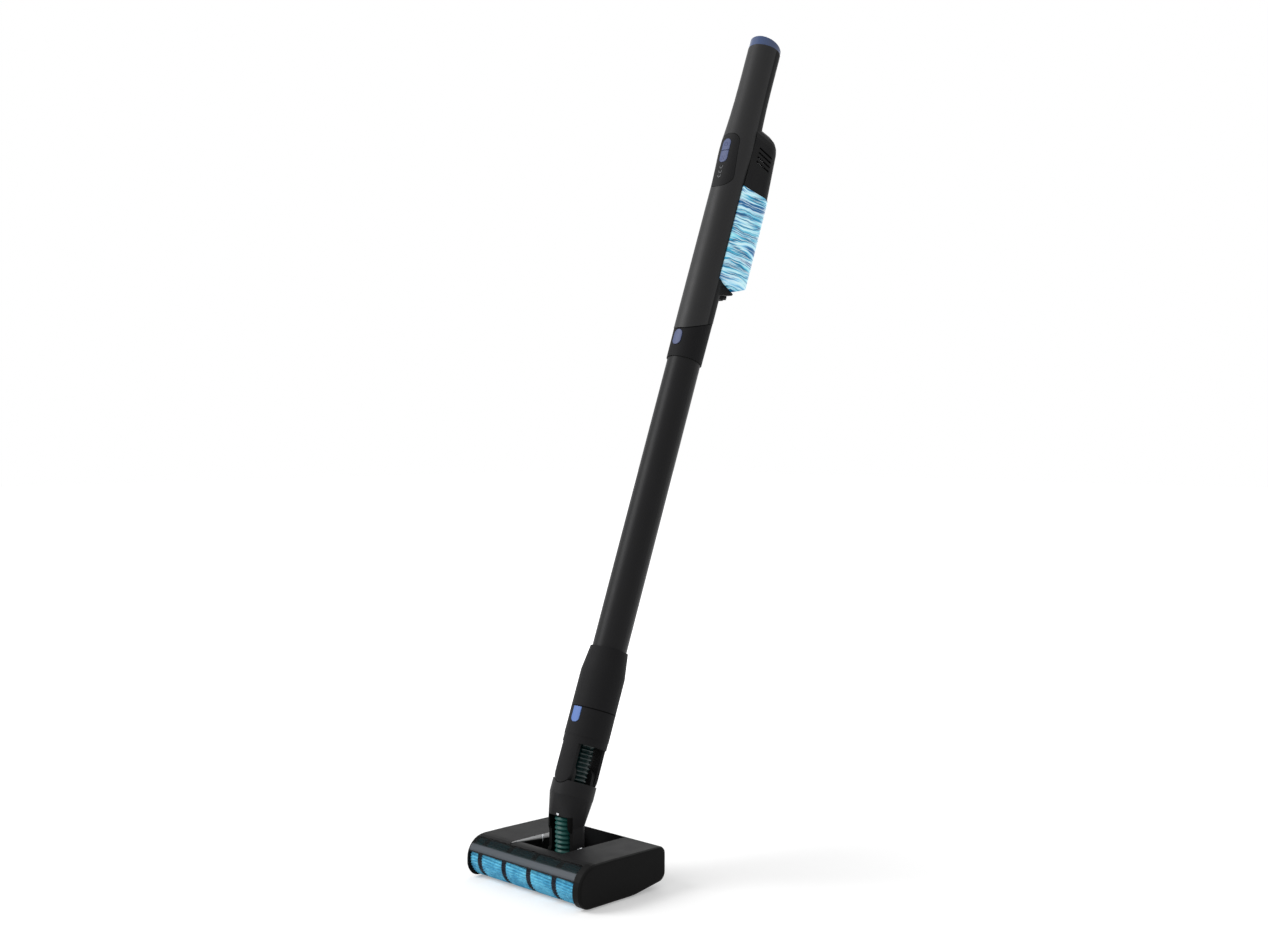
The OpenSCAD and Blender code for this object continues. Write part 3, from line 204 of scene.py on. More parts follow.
class Graph:
    """The node tree of a material or of the world."""

    def __init__(self, owner: bpy.types.Material | bpy.types.World) -> None:
        """Empties the owner's node tree.

        Args:
            owner: The material or world that the nodes are for.
        """
        owner.use_nodes = True
        self.tree = owner.node_tree
        self.tree.nodes.clear()

    def node(
        self,
        kind: str,
        settings: Mapping[str, Any] | None = None,
        inputs: Mapping[int | str, Any] | None = None,
        output: int | str = 0,
    ) -> Signal:
        """Adds a node.

        Args:
            kind: The node's type.
            settings: Its own settings; "stops" holds a colour ramp's stops.
            inputs: Values or signals for its sockets.
            output: The socket to return.

        Returns:
            The signal of the chosen output.
        """
        made = self.tree.nodes.new(kind)
        for name, value in (settings or {}).items():
            if name == "stops":
                self._set_stops(made.color_ramp, value)
            else:
                setattr(made, name, value)
        for key, value in (inputs or {}).items():
            if isinstance(value, Signal):
                self.tree.links.new(value.socket, made.inputs[key])
            elif isinstance(value, tuple) and made.inputs[key].type == "RGBA":
                made.inputs[key].default_value = (*value, 1.0)
            else:
                made.inputs[key].default_value = value
        return Signal(self, made.outputs[output])

    @staticmethod
    def _set_stops(ramp: bpy.types.ColorRamp, stops: Sequence[tuple[float, Colour]]) -> None:
        """Fills a colour ramp.

        Args:
            ramp: The ramp.
            stops: Position and colour of each stop, in order.
        """
        while len(ramp.elements) < len(stops):
            ramp.elements.new(1.0)
        for element, (position, colour) in zip(ramp.elements, stops):
            element.position = position
            element.color = (*colour, 1.0)

    def coordinates(self, turn: float = 0.0) -> Signal:
        """Object coordinates, turned about X.

        Args:
            turn: Angle in radians that the pattern is turned by.

        Returns:
            The coordinate vector, in metres.
        """
        plain = self.node("ShaderNodeTexCoord", output="Object")
        if not turn:
            return plain
        return self.node(
            "ShaderNodeMapping", {}, {"Vector": plain, "Rotation": (turn, 0.0, 0.0)}
        )

    def component(self, vector: Signal, axis: Axis) -> Signal:
        """One component of a vector."""
        return self.node("ShaderNodeSeparateXYZ", {}, {0: vector}, output=axis.value)

    def stretched(self, vector: Signal, scale: Point) -> Signal:
        """The vector with each axis scaled by itself."""
        return self.node("ShaderNodeMapping", {}, {"Vector": vector, "Scale": scale})

    def noise(self, vector: Signal, pattern: Pattern) -> Signal:
        """Fractal noise from 0 to 1.

        Args:
            vector: Where the noise is read.
            pattern: Its scale, detail and warp.

        Returns:
            The noise value.
        """
        return self.node(
            "ShaderNodeTexNoise",
            {},
            {
                "Vector": vector,
                "Scale": pattern.per_metre,
                "Detail": pattern.detail,
                "Distortion": pattern.warp,
            },
        )

    def blend(self, factor: Signal | float, first: Any, second: Any) -> Signal:
        """A mix of two colours.

        Args:
            factor: 0 for the first colour alone, 1 for the second.
            first: The first colour, or its signal.
            second: The second colour, or its signal.

        Returns:
            The mixed colour.
        """
        sockets = {0: factor, 6: first, 7: second}
        return self.node("ShaderNodeMix", {"data_type": "RGBA"}, sockets, output=2)

    def drifted(self, factor: Signal, colour: Colour, drift: float) -> Signal:
        """A colour that drifts darker and lighter by a share of itself."""
        return self.blend(factor, shade(colour, 1 - drift), shade(colour, 1 + drift))

    def bump(self, height: Signal, strength: float, depth: float) -> Signal:
        """A normal bent by a height signal.

        Args:
            height: Height from 0 to 1.
            strength: Share of the effect.
            depth: Height of a step of 1, in metres.

        Returns:
            The bent normal.
        """
        sockets = {"Height": height, "Strength": strength, "Distance": depth}
        return self.node("ShaderNodeBump", {}, sockets)

    def seen(self) -> Signal:
        """Marks the rays that look straight, by gloss or through glass.

        Returns:
            1 for those rays and 0 for the others.
        """
        kinds = ("Is Camera Ray", "Is Glossy Ray", "Is Transmission Ray")
        straight, gloss, glass = (self.node("ShaderNodeLightPath", output=k) for k in kinds)
        return straight.larger(gloss).larger(glass)

    def surface(self, **inputs: Any) -> Signal:
        """A Principled shader; underscores stand for the spaces in socket names."""
        named = {key.replace("_", " "): value for key, value in inputs.items()}
        return self.node("ShaderNodeBsdfPrincipled", {}, named)

    def finish(self, shader: Signal, kind: str = "ShaderNodeOutputMaterial") -> None:
        """Joins the shader to the output node."""
        out = self.tree.nodes.new(kind)
        self.tree.links.new(shader.socket, out.inputs["Surface"])


# ---- finishes ---------------------------------------------------------------

FLOW = Pattern(9.0, 3.0, 0.4)
GRAIN = Pattern(1500.0, 1.0)
GRAIN_DEPTH = 0.04 * MM
SOFT_EDGE = 0.2 * MM


@dataclass(frozen=True)
class Finish:
    """A named finish that makes one material."""

    name: str

    def build(self) -> bpy.types.Material:
        """Makes the material.

        Returns:
            The material.
        """
        material = bpy.data.materials.new(self.name)
        graph = Graph(material)
        graph.finish(self.shader(graph))
        return material

    def shader(self, g: Graph) -> Signal:
        """The finish's shader, drawn in a graph."""
        raise NotImplementedError


@dataclass(frozen=True)
class Moulding(Finish):
    """Moulded plastic with a fine grain, faint flow marks and handling marks."""

    colour: Colour
    roughness: float = 0.42
    drift: float = 0.18
    grain: float = 0.35
    specular: float = 0.45
    coat: float = 0.0
    coat_roughness: float = 0.08
    handling: Pattern = Pattern(70.0, 4.0, 0.2)
    flow_swing: float = 0.10
    handling_swing: float = 0.12

    def shader(self, g: Graph) -> Signal:
        """Draws the shader.

        Args:
            g: The material's graph.

        Returns:
            The shader.
        """
        where = g.coordinates()
        flow = g.noise(where, FLOW)
        handling = g.noise(where, self.handling)
        gloss = flow.swing(self.flow_swing) + handling.swing(self.handling_swing)
        return g.surface(
            Base_Color=g.drifted(flow, self.colour, self.drift),
            Roughness=self.roughness + gloss,
            Specular_IOR_Level=self.specular,
            Coat_Weight=self.coat,
            Coat_Roughness=self.coat_roughness,
            Normal=g.bump(g.noise(where, GRAIN), self.grain, GRAIN_DEPTH),
        )


@dataclass(frozen=True)
class ForkShell(Finish):
    """Moulded plastic that is painted near black, as painted shade, and made duller inside the
    hose's channel and ahead of it.
    """

    colour: Colour
    channel_half: float
    channel_front: float
    channel_rear: float
    channel_top: float
    # Near-black colour of the painted shade in the channel.
    inner: Colour = srgb(5, 5, 5)
    roughness: float = 0.5
    drift: float = 0.16
    grain: float = 0.35
    flow_swing: float = 0.1
    dull_gain: float = 0.3

    def shader(self, g: Graph) -> Signal:
        """Draws the shader.

        Args:
            g: The material's graph.

        Returns:
            The shader.
        """
        where = g.coordinates()
        flow = g.noise(where, FLOW)
        across, along, up = (g.component(where, axis) for axis in Axis)
        half, front, rear, top = (
            self.channel_half,
            self.channel_front,
            self.channel_rear,
            self.channel_top,
        )
        # Painted shade: between the cheeks and ahead of the channel's front, below its top, the
        # colour turns near black where shade falls.
        between = across.magnitude().below(half, half + SOFT_EDGE)
        inside = between * along.below(rear, rear + SOFT_EDGE)
        lip = along.below(front - 2 * SOFT_EDGE, front)
        painted_shade = inside.larger(lip) * up.below(top - 5 * SOFT_EDGE, top)
        plain = g.drifted(flow, self.colour, self.drift)
        return g.surface(
            Base_Color=g.blend(painted_shade, plain, self.inner),
            Roughness=self.roughness + flow.swing(self.flow_swing) + painted_shade * self.dull_gain,
            Specular_IOR_Level=0.1,
            Normal=g.bump(g.noise(where, GRAIN), self.grain, GRAIN_DEPTH),
        )


@dataclass(frozen=True)
class PaintedReflectionLip(Finish):
    """Glossy rim painted near white as a reflection, fading to black further down, deeper
    towards the rear.
    """

    top: float
    front: float
    reflection_depth: float = 1.2 * MM
    reflection_slope: float = 0.085
    fade: Span = (0.35, 1.0)
    # Near-white painted reflection, and the black it fades to.
    bright: tuple[Colour, Colour] = (srgb(232, 233, 235), srgb(252, 252, 252))
    black: Colour = srgb(16, 16, 17)
    roughness: float = 0.16
    lines: Pattern = Pattern(600.0, 2.0)
    line_stretch: Point = (1.0, 0.1, 1.0)
    line_gain: float = 0.1

    def shader(self, g: Graph) -> Signal:
        """Draws the shader.

        Args:
            g: The material's graph.

        Returns:
            The shader.
        """
        where = g.coordinates()
        depth = self.top - g.component(where, Axis.Z)
        back = g.component(where, Axis.Y) - self.front
        # Painted reflection: near white at the top edge, fading to black further down.
        faded = (depth / (back * self.reflection_slope + self.reflection_depth)).above(*self.fade)
        lines = g.noise(g.stretched(where, self.line_stretch), self.lines)
        return g.surface(
            Base_Color=g.blend(faded, g.blend(lines, *self.bright), self.black),
            Roughness=self.roughness + lines * self.line_gain,
            Specular_IOR_Level=0.1,
        )


@dataclass(frozen=True)
class Metal(Finish):
    """Bare or coated metal with fine drawn lines."""

    colour: Colour
    roughness: float = 0.28
    metallic: float = 1.0
    turn: float = 0.0
    specular: float = 0.5
    lines: Pattern = Pattern(2600.0, 2.0)
    line_stretch: Point = (1.0, 1.0, 0.02)
    line_swing: float = 0.16
    line_strength: float = 0.25
    line_depth: float = 0.02 * MM
    cloud: Pattern = Pattern(25.0, 3.0)
    dark: float = 0.88
    light: float = 1.1

    def shader(self, g: Graph) -> Signal:
        """Draws the shader.

        Args:
            g: The material's graph.

        Returns:
            The shader.
        """
        where = g.coordinates(self.turn)
        lines = g.noise(g.stretched(where, self.line_stretch), self.lines)
        cloud = g.noise(where, self.cloud)
        tones = shade(self.colour, self.dark), shade(self.colour, self.light)
        return g.surface(
            Base_Color=g.blend(cloud, *tones),
            Roughness=self.roughness + lines.swing(self.line_swing),
            Metallic=self.metallic,
            Specular_IOR_Level=self.specular,
            Normal=g.bump(lines, self.line_strength, self.line_depth),
        )


@dataclass(frozen=True)
class Pile(Finish):
    """Soft plush or bristle: sheen, clumps and fibre-scale bump."""

    colour: Colour
    tip: Colour
    sheen: float = 0.5
    clumps: Pattern = Pattern(170.0, 3.0, 0.6)
    clump_share: float = 0.6
    clump_height: float = 2.0
    patches: Pattern = Pattern(38.0, 2.0, 0.5)
    patch_share: float = 0.5
    tip_span: Span = (0.34, 0.74)
    fibres: Pattern = Pattern(2200.0, 2.0)
    fibre_strength: float = 0.6
    fibre_depth: float = 0.4 * MM

    def shader(self, g: Graph) -> Signal:
        """Draws the shader.

        Args:
            g: The material's graph.

        Returns:
            The shader.
        """
        where = g.coordinates()
        clumps = g.noise(where, self.clumps)
        patches = g.noise(where, self.patches)
        mixed = clumps * self.clump_share + patches * self.patch_share
        height = g.noise(where, self.fibres) + clumps * self.clump_height
        return g.surface(
            Base_Color=g.blend(mixed.above(*self.tip_span), self.colour, self.tip),
            Roughness=0.85,
            Specular_IOR_Level=0.2,
            Sheen_Weight=self.sheen,
            Sheen_Roughness=0.4,
            Normal=g.bump(height, self.fibre_strength, self.fibre_depth),
        )


@dataclass(frozen=True)
class Rubber(Finish):
    """Matt rubber with a dusty bloom."""

    colour: Colour
    roughness: float = 0.7
    bloom: Pattern = Pattern(120.0, 4.0, 0.3)
    bloom_gain: float = 1.8
    bloom_swing: float = 0.2
    skin: Pattern = Pattern(900.0)
    skin_strength: float = 0.3
    skin_depth: float = 0.05 * MM

    def shader(self, g: Graph) -> Signal:
        """Draws the shader.

        Args:
            g: The material's graph.

        Returns:
            The shader.
        """
        where = g.coordinates()
        bloom = g.noise(where, self.bloom)
        return g.surface(
            Base_Color=g.blend(bloom, self.colour, shade(self.colour, self.bloom_gain)),
            Roughness=self.roughness + bloom.swing(self.bloom_swing),
            Specular_IOR_Level=0.3,
            Normal=g.bump(g.noise(where, self.skin), self.skin_strength, self.skin_depth),
        )


@dataclass(frozen=True)
class SmokedWindow(Finish):
    """Clear smoke-tinted plastic with a painted grey highlight towards its lower edge, where it
    is paler and less clear.

    The three lines are heights over the roller's axis: where the painted highlight ends, where
    the dark lower edge ends, and where the dark upper rim starts.
    """

    axis_z: float
    tint: Colour = srgb(158, 190, 186)
    # Grey of the painted highlight along the window's curved lower part.
    highlight_band: Colour = srgb(84, 90, 98)
    dark: Colour = srgb(20, 24, 27)
    border: Colour = srgb(12, 14, 16)
    highlight_line: Span = (17.2 * MM, 18.6 * MM)
    edge_line: Span = (10.4 * MM, 11.2 * MM)
    rim_line: Span = (22.8 * MM, 23.6 * MM)
    roughness: float = 0.26
    smear: Pattern = Pattern(160.0, 3.0, 0.3)
    smear_stretch: Point = (0.25, 1.0, 1.0)
    smear_gain: float = 0.08
    body: float = 0.3
    highlight_body: float = 0.34
    smear_body: float = 0.12

    def shader(self, g: Graph) -> Signal:
        """Draws the shader.

        Args:
            g: The material's graph.

        Returns:
            The shader.
        """
        where = g.coordinates()
        height = g.component(where, Axis.Z) - self.axis_z
        smear = g.noise(g.stretched(where, self.smear_stretch), self.smear)
        # Painted highlight: below this line the skin turns grey and less clear.
        low = height.below(*self.highlight_line)
        border = height.below(*self.edge_line).larger(height.above(*self.rim_line))
        skin = g.surface(
            Base_Color=g.blend(border, g.blend(low, self.dark, self.highlight_band), self.border),
            Roughness=self.roughness + smear * self.smear_gain,
            Specular_IOR_Level=0.2,
        )
        clear = g.node("ShaderNodeBsdfTransparent", {}, {"Color": self.tint})
        body = self.body + low * self.highlight_body + smear.swing(self.smear_body)
        return g.node("ShaderNodeMixShader", {}, {0: body, 1: clear, 2: skin})


@dataclass(frozen=True)
class StreakedCup(Finish):
    """Translucent cup whose wall carries soft wavy streaks around it."""

    slant: float = 0.2
    sway: Pattern = Pattern(26.0, 2.0, 0.3)
    sway_height: float = 11 * MM
    bands: Pattern = Pattern(1.0, 1.5, 0.2)
    band_stretch: Point = (5.0, 5.0, 66.0)
    threads: Pattern = Pattern(1.0, 3.0, 0.15)
    thread_stretch: Point = (13.0, 13.0, 420.0)
    stops: tuple[tuple[float, Colour], ...] = (
        (0.34, srgb(0, 80, 128)),
        (0.39, srgb(52, 172, 214)),
        (0.43, srgb(170, 240, 250)),
        (0.47, srgb(56, 176, 212)),
        (0.50, srgb(0, 86, 130)),
        (0.53, srgb(44, 164, 204)),
        (0.57, srgb(200, 246, 252)),
        (0.61, srgb(136, 206, 240)),
        (0.65, srgb(0, 96, 150)),
    )
    dark: Colour = srgb(0, 92, 150)
    dark_span: Span = (0.56, 0.72)
    bright: Colour = srgb(228, 250, 255)
    bright_span: Span = (0.88, 0.99)
    thread_strength: float = 0.7
    back: float = 40.5 * MM
    back_fade: float = 3 * MM
    back_strength: float = 0.8
    back_colour: Colour = srgb(10, 60, 84)
    # Strength of the emission: painted light that makes the cup glow, though it is no lamp.
    glow: float = 0.36

    def shader(self, g: Graph) -> Signal:
        """Draws the shader.

        Args:
            g: The material's graph.

        Returns:
            The shader.
        """
        where = g.coordinates(LEAN)
        depth = g.component(where, Axis.Y)
        rise = g.noise(where, self.sway) * self.sway_height - depth * self.slant
        shift = g.node("ShaderNodeCombineXYZ", {}, {Axis.Z.value: rise})
        bent = g.node("ShaderNodeVectorMath", {"operation": "ADD"}, {0: where, 1: shift})
        bands = g.noise(g.stretched(bent, self.band_stretch), self.bands)
        washes = g.node("ShaderNodeValToRGB", {"stops": self.stops}, {0: bands})
        threads = g.noise(g.stretched(bent, self.thread_stretch), self.threads)
        bright = (1 - threads.swing(2.0).magnitude()).above(*self.bright_span)
        dark = (1 - threads).above(*self.dark_span)
        colour = g.blend(dark * self.thread_strength, washes, self.dark)
        colour = g.blend(bright * self.thread_strength, colour, self.bright)
        back = depth.above(self.back - self.back_fade, self.back)
        colour = g.blend(back * self.back_strength, colour, self.back_colour)
        return g.surface(
            Base_Color=colour,
            Roughness=0.3,
            Specular_IOR_Level=0.25,
            # Painted light: the cup's own colour is also emitted.
            Emission_Color=colour,
            Emission_Strength=self.glow,
            Coat_Weight=0.12,
            Coat_Roughness=0.05,
        )


@cache
def material_of(finish: Finish) -> bpy.types.Material:
    """The material of a finish, made once."""
    return finish.build()


COVER = Moulding("satin_charcoal", srgb(20, 20, 21), 0.58, specular=0.1)
NECK = Moulding("matt_charcoal", srgb(33, 33, 34), 0.6, specular=0.06)
FRONT = Moulding("satin_graphite", srgb(30, 30, 31), 0.5, specular=0.27)
PANEL = Moulding("matt_panel", srgb(30, 30, 31), 0.62, specular=0.12)
SHELL = Moulding("grained_black", srgb(19, 19, 20), 0.58, grain=0.6, specular=0.1)
CAP = Moulding("smooth_black", srgb(18, 18, 18), 0.5, grain=0.15, specular=0.06)
INNER = Moulding("inner_black", srgb(16, 16, 17), 0.6, specular=0.1)
# Black for bands that paint the shadow in the seams between parts.
SEAM_SHADOW = Moulding("seam_shadow_black", srgb(6, 6, 7), 0.8, specular=0.05)
BLUE = Moulding("slate_blue", srgb(75, 85, 120), 0.45, drift=0.06, specular=0.25)
BRIGHT_BLUE = Moulding("sky_blue", srgb(92, 122, 184), 0.45, drift=0.06, specular=0.25)
END_BLUE = Moulding("cap_blue", srgb(40, 64, 108), 0.22, drift=0.3, coat=0.4)
ACETAL = Moulding("acetal", srgb(205, 205, 200), 0.4)
LENS = Moulding("light_lens", srgb(4, 4, 5), 0.5, grain=0.0, specular=0.1)
# Grey rims round the indicator lights: a painted glint.
GLINT_RIM = Moulding("light_glint_rim", srgb(118, 120, 124), 0.4, grain=0.0, specular=0.3)
MARK = Moulding("key_mark", srgb(58, 64, 104), 0.5, grain=0.0, specular=0.2)
HOSE = Moulding("hose_green", srgb(15, 74, 69), 0.42, drift=0.3, specular=0.28)
# The upper hose is painted darker than the lower one, as painted shade inside the neck.
SHADED_HOSE = Moulding("shaded_hose_green", srgb(7, 34, 34), 0.32, drift=0.3, specular=0.45)
CORE_BLUE = Moulding("core_blue", srgb(60, 120, 165), 0.5)
BOARD = Moulding("board_green", srgb(22, 80, 45), 0.4)
WRAP = Moulding("cell_wrap", srgb(58, 110, 78), 0.3, coat=0.3)
FORK = ForkShell(
    "fork_charcoal",
    srgb(33, 33, 34),
    channel_half=15.7 * MM,
    channel_front=-6.2 * MM,
    channel_rear=14.2 * MM,
    channel_top=83.6 * MM,
)
# Lip painted with a near-white reflection along the recess's sides.
LIP = PaintedReflectionLip("painted_reflection_grey", top=51.2 * MM, front=-52 * MM)
GLINT = Metal("polished_peg", srgb(206, 208, 212), 0.2)
STEEL = Metal("bright_steel", srgb(205, 207, 210), 0.22)
WAND = Metal("coated_aluminium", srgb(28, 28, 29), 0.42, metallic=0.0, turn=LEAN, specular=0.12)
DARK_STEEL = Metal("blackened_steel", srgb(64, 65, 68), 0.35)
MESH = Metal("filter_mesh", srgb(168, 170, 174), 0.45)
PLUSH = Pile("blue_plush", srgb(58, 156, 198), srgb(120, 212, 240))
BRISTLE = Pile("dark_bristle", srgb(34, 38, 46), srgb(64, 68, 78), sheen=0.15)
FELT = Pile("grey_felt", srgb(70, 72, 78), srgb(104, 106, 112))
PAPER = Pile("filter_paper", srgb(214, 214, 206), srgb(236, 236, 230), sheen=0.1)
RUBBER = Rubber("black_rubber", srgb(22, 22, 23))
CUP = StreakedCup("streaked_cup")


# ---- mesh drawing -------------------------------------------------------------


@dataclass
class Sketch:
    """A new piece, drawn with bmesh operators in millimetres in a frame of its own."""

    name: str
    place: Matrix
    mesh: bmesh.types.BMesh = field(default_factory=bmesh.new)
    band_wall: float = 0.5
    merge_within: float = 0.001

    def lathe(self, profile: Iterable[Span], steps: int = 96) -> None:
        """Spins a closed outline about the frame's Z axis.

        Args:
            profile: Radius and height of each corner, in order.
            steps: Number of facets round the axis.
        """
        bm = self.mesh
        corners = [bm.verts.new((radius, 0.0, height)) for radius, height in profile]
        edges = [bm.edges.new(pair) for pair in zip(corners, corners[1:] + corners[:1])]
        bmesh.ops.spin(
            bm,
            geom=[*corners, *edges],
            cent=(0, 0, 0),
            axis=(0, 0, 1),
            angle=math.tau,
            steps=steps,
            use_merge=True,
        )

    def sleeve(self, radii: Span, ends: Span, steps: int = 96) -> None:
        """Spins a rectangle about the frame's Z axis.

        Args:
            radii: Inner and outer radius.
            ends: Height of its lower and upper end.
            steps: Number of facets round the axis.
        """
        (inner, outer), (low, high) = radii, ends
        self.lathe([(inner, low), (outer, low), (outer, high), (inner, high)], steps)

    def band(self, radius: float, low: float, height: float, slope: float = 0.0) -> None:
        """Draws a thin closed band round the stick.

        Args:
            radius: Outer radius.
            low: Height of its lower edge on the axis.
            height: Height of the band.
            slope: Rise per millimetre towards the rear.
        """
        self.sleeve((radius - self.band_wall, radius), (low, low + height))
        lean = Matrix.Identity(4)
        lean[2][1] = slope
        bmesh.ops.transform(self.mesh, matrix=lean, verts=self.mesh.verts)

    def loft(self, sections: Sequence[Sequence[Point]]) -> None:
        """Joins outlines of as many corners, one after another, into a solid.

        Args:
            sections: Corners of each outline, from one end to the other.
        """
        bm = self.mesh
        loops = []
        for section in sections:
            verts = [bm.verts.new(corner) for corner in section]
            pairs = zip(verts, verts[1:] + verts[:1])
            loops.append([bm.edges.new(pair) for pair in pairs])
        for first, second in zip(loops, loops[1:]):
            bmesh.ops.bridge_loops(bm, edges=first + second)
        bmesh.ops.holes_fill(bm, edges=loops[0] + loops[-1], sides=0)

    def finish(
        self, finish: Finish, body: str, slot: str, smooth: float = 35.0
    ) -> bpy.types.Object:
        """Turns the drawing into an object that rides on a body.

        Args:
            finish: The finish it gets.
            body: Body that carries it, or nothing for a piece that rides on none.
            slot: Not used.
            smooth: Edges sharper than this many degrees stay sharp.

        Returns:
            The finished object.
        """
        bm = self.mesh
        bmesh.ops.remove_doubles(bm, verts=bm.verts, dist=self.merge_within)
        bmesh.ops.recalc_face_normals(bm, faces=bm.faces)
        bmesh.ops.transform(bm, matrix=Matrix.Scale(MM, 4) @ self.place, verts=bm.verts)
        data = bpy.data.meshes.new(self.name)
        bm.to_mesh(data)
        bm.free()
        data.polygons.foreach_set("use_smooth", [True] * len(data.polygons))
        data.set_sharp_from_angle(angle=math.radians(smooth))
        data.materials.append(material_of(finish))
        made = bpy.data.objects.new(self.name, data)
        bpy.context.scene.collection.objects.link(made)
        if body:
            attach(made, body)
        log.info("made %s with %d faces", self.name, len(data.polygons))
        return made


def dress(finish: Finish, *nodes: str) -> None:
    """Gives CAD nodes a finish.

    Args:
        finish: The finish.
        nodes: Names of the nodes.
    """
    for name in nodes:
        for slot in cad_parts[name].material_slots:
            slot.material = material_of(finish)
        log.info("dressed %s in %s", name, finish.name)


# ---- sub-assemblies -----------------------------------------------------------


@dataclass(frozen=True)
class Peg:
    """A small polished peg with round ends, from the middle of one end to the other's."""

    name: str
    start: Point
    end: Point
    radius: float = 1.1

    def build(self) -> None:
        """Draws the peg by pulling a ball apart at its equator."""
        axis = Vector(self.end) - Vector(self.start)
        turn = axis.to_track_quat("Z", "Y").to_matrix().to_4x4()
        sketch = Sketch(self.name, Matrix.Translation(self.start) @ turn)
        ball = bmesh.ops.create_uvsphere(
            sketch.mesh, u_segments=20, v_segments=12, radius=self.radius
        )["verts"]
        equator = 0.01 * self.radius
        upper = [vert for vert in ball if vert.co.z > equator]
        bmesh.ops.translate(sketch.mesh, vec=(0, 0, axis.length), verts=upper)
        sketch.finish(GLINT, "head", "cover_plastic", smooth=60)


@dataclass
class RollerHead:
    """The head with its covers, window, recess and running gear."""

    recess_half: float = 40.0
    top_line: tuple[Span, ...] = (
        (-51.9, 50.0),
        (-48.0, 50.9),
        (-44.2, 51.2),
        (-12.0, 51.2),
        (62.6, 50.0),
    )
    lip_height: float = 5.0
    lip_depth: float = 3.0
    lip_sunk: float = 0.1
    pegs: tuple[Peg, ...] = (
        Peg("recess_pip", (39.2, -15.0, 50.3), (39.2, -10.0, 50.5)),
        Peg("recess_peg", (-38.0, -1.5, 39.0), (-38.0, -0.5, 49.5)),
    )

    def build(self) -> None:
        """Dresses the head and adds its small pieces."""
        dress(COVER, "top_cover")
        dress(SHELL, "base_shell", "suction_duct")
        dress(CAP, "left_end_cap", "right_end_cap")
        dress(STEEL, "roller_bearings", "brush_motor", "motor_pulley")
        dress(STEEL, "wheel_axles", "pitch_pins", "head_screws")
        dress(RUBBER, "drive_belt", "left_rear_wheel", "right_rear_wheel")
        dress(FELT, "mouth_strip")
        low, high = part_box("roller_core")
        axis = (low + high) / 2
        dress(SmokedWindow("smoked_window", axis.z), "front_window")
        for side in Side:
            self._recess_lip(side)
        for peg in self.pegs:
            peg.build()

    def _recess_lip(self, side: Side) -> None:
        """Draws the glossy lip that carries the painted reflection along one side of the
        recess.

        Args:
            side: The side of the recess.
        """
        sketch = Sketch(f"{side.name.lower()}_recess_lip", HEAD_FRAME)
        edge = side.value * self.recess_half
        inner = edge - side.value * self.lip_depth
        foot = max(top for _, top in self.top_line) - self.lip_height
        sketch.loft(
            [
                [(edge, y, top - self.lip_sunk), (inner, y, foot), (edge, y, foot)]
                for y, top in self.top_line
            ]
        )
        sketch.finish(LIP, "head", "cover_plastic")


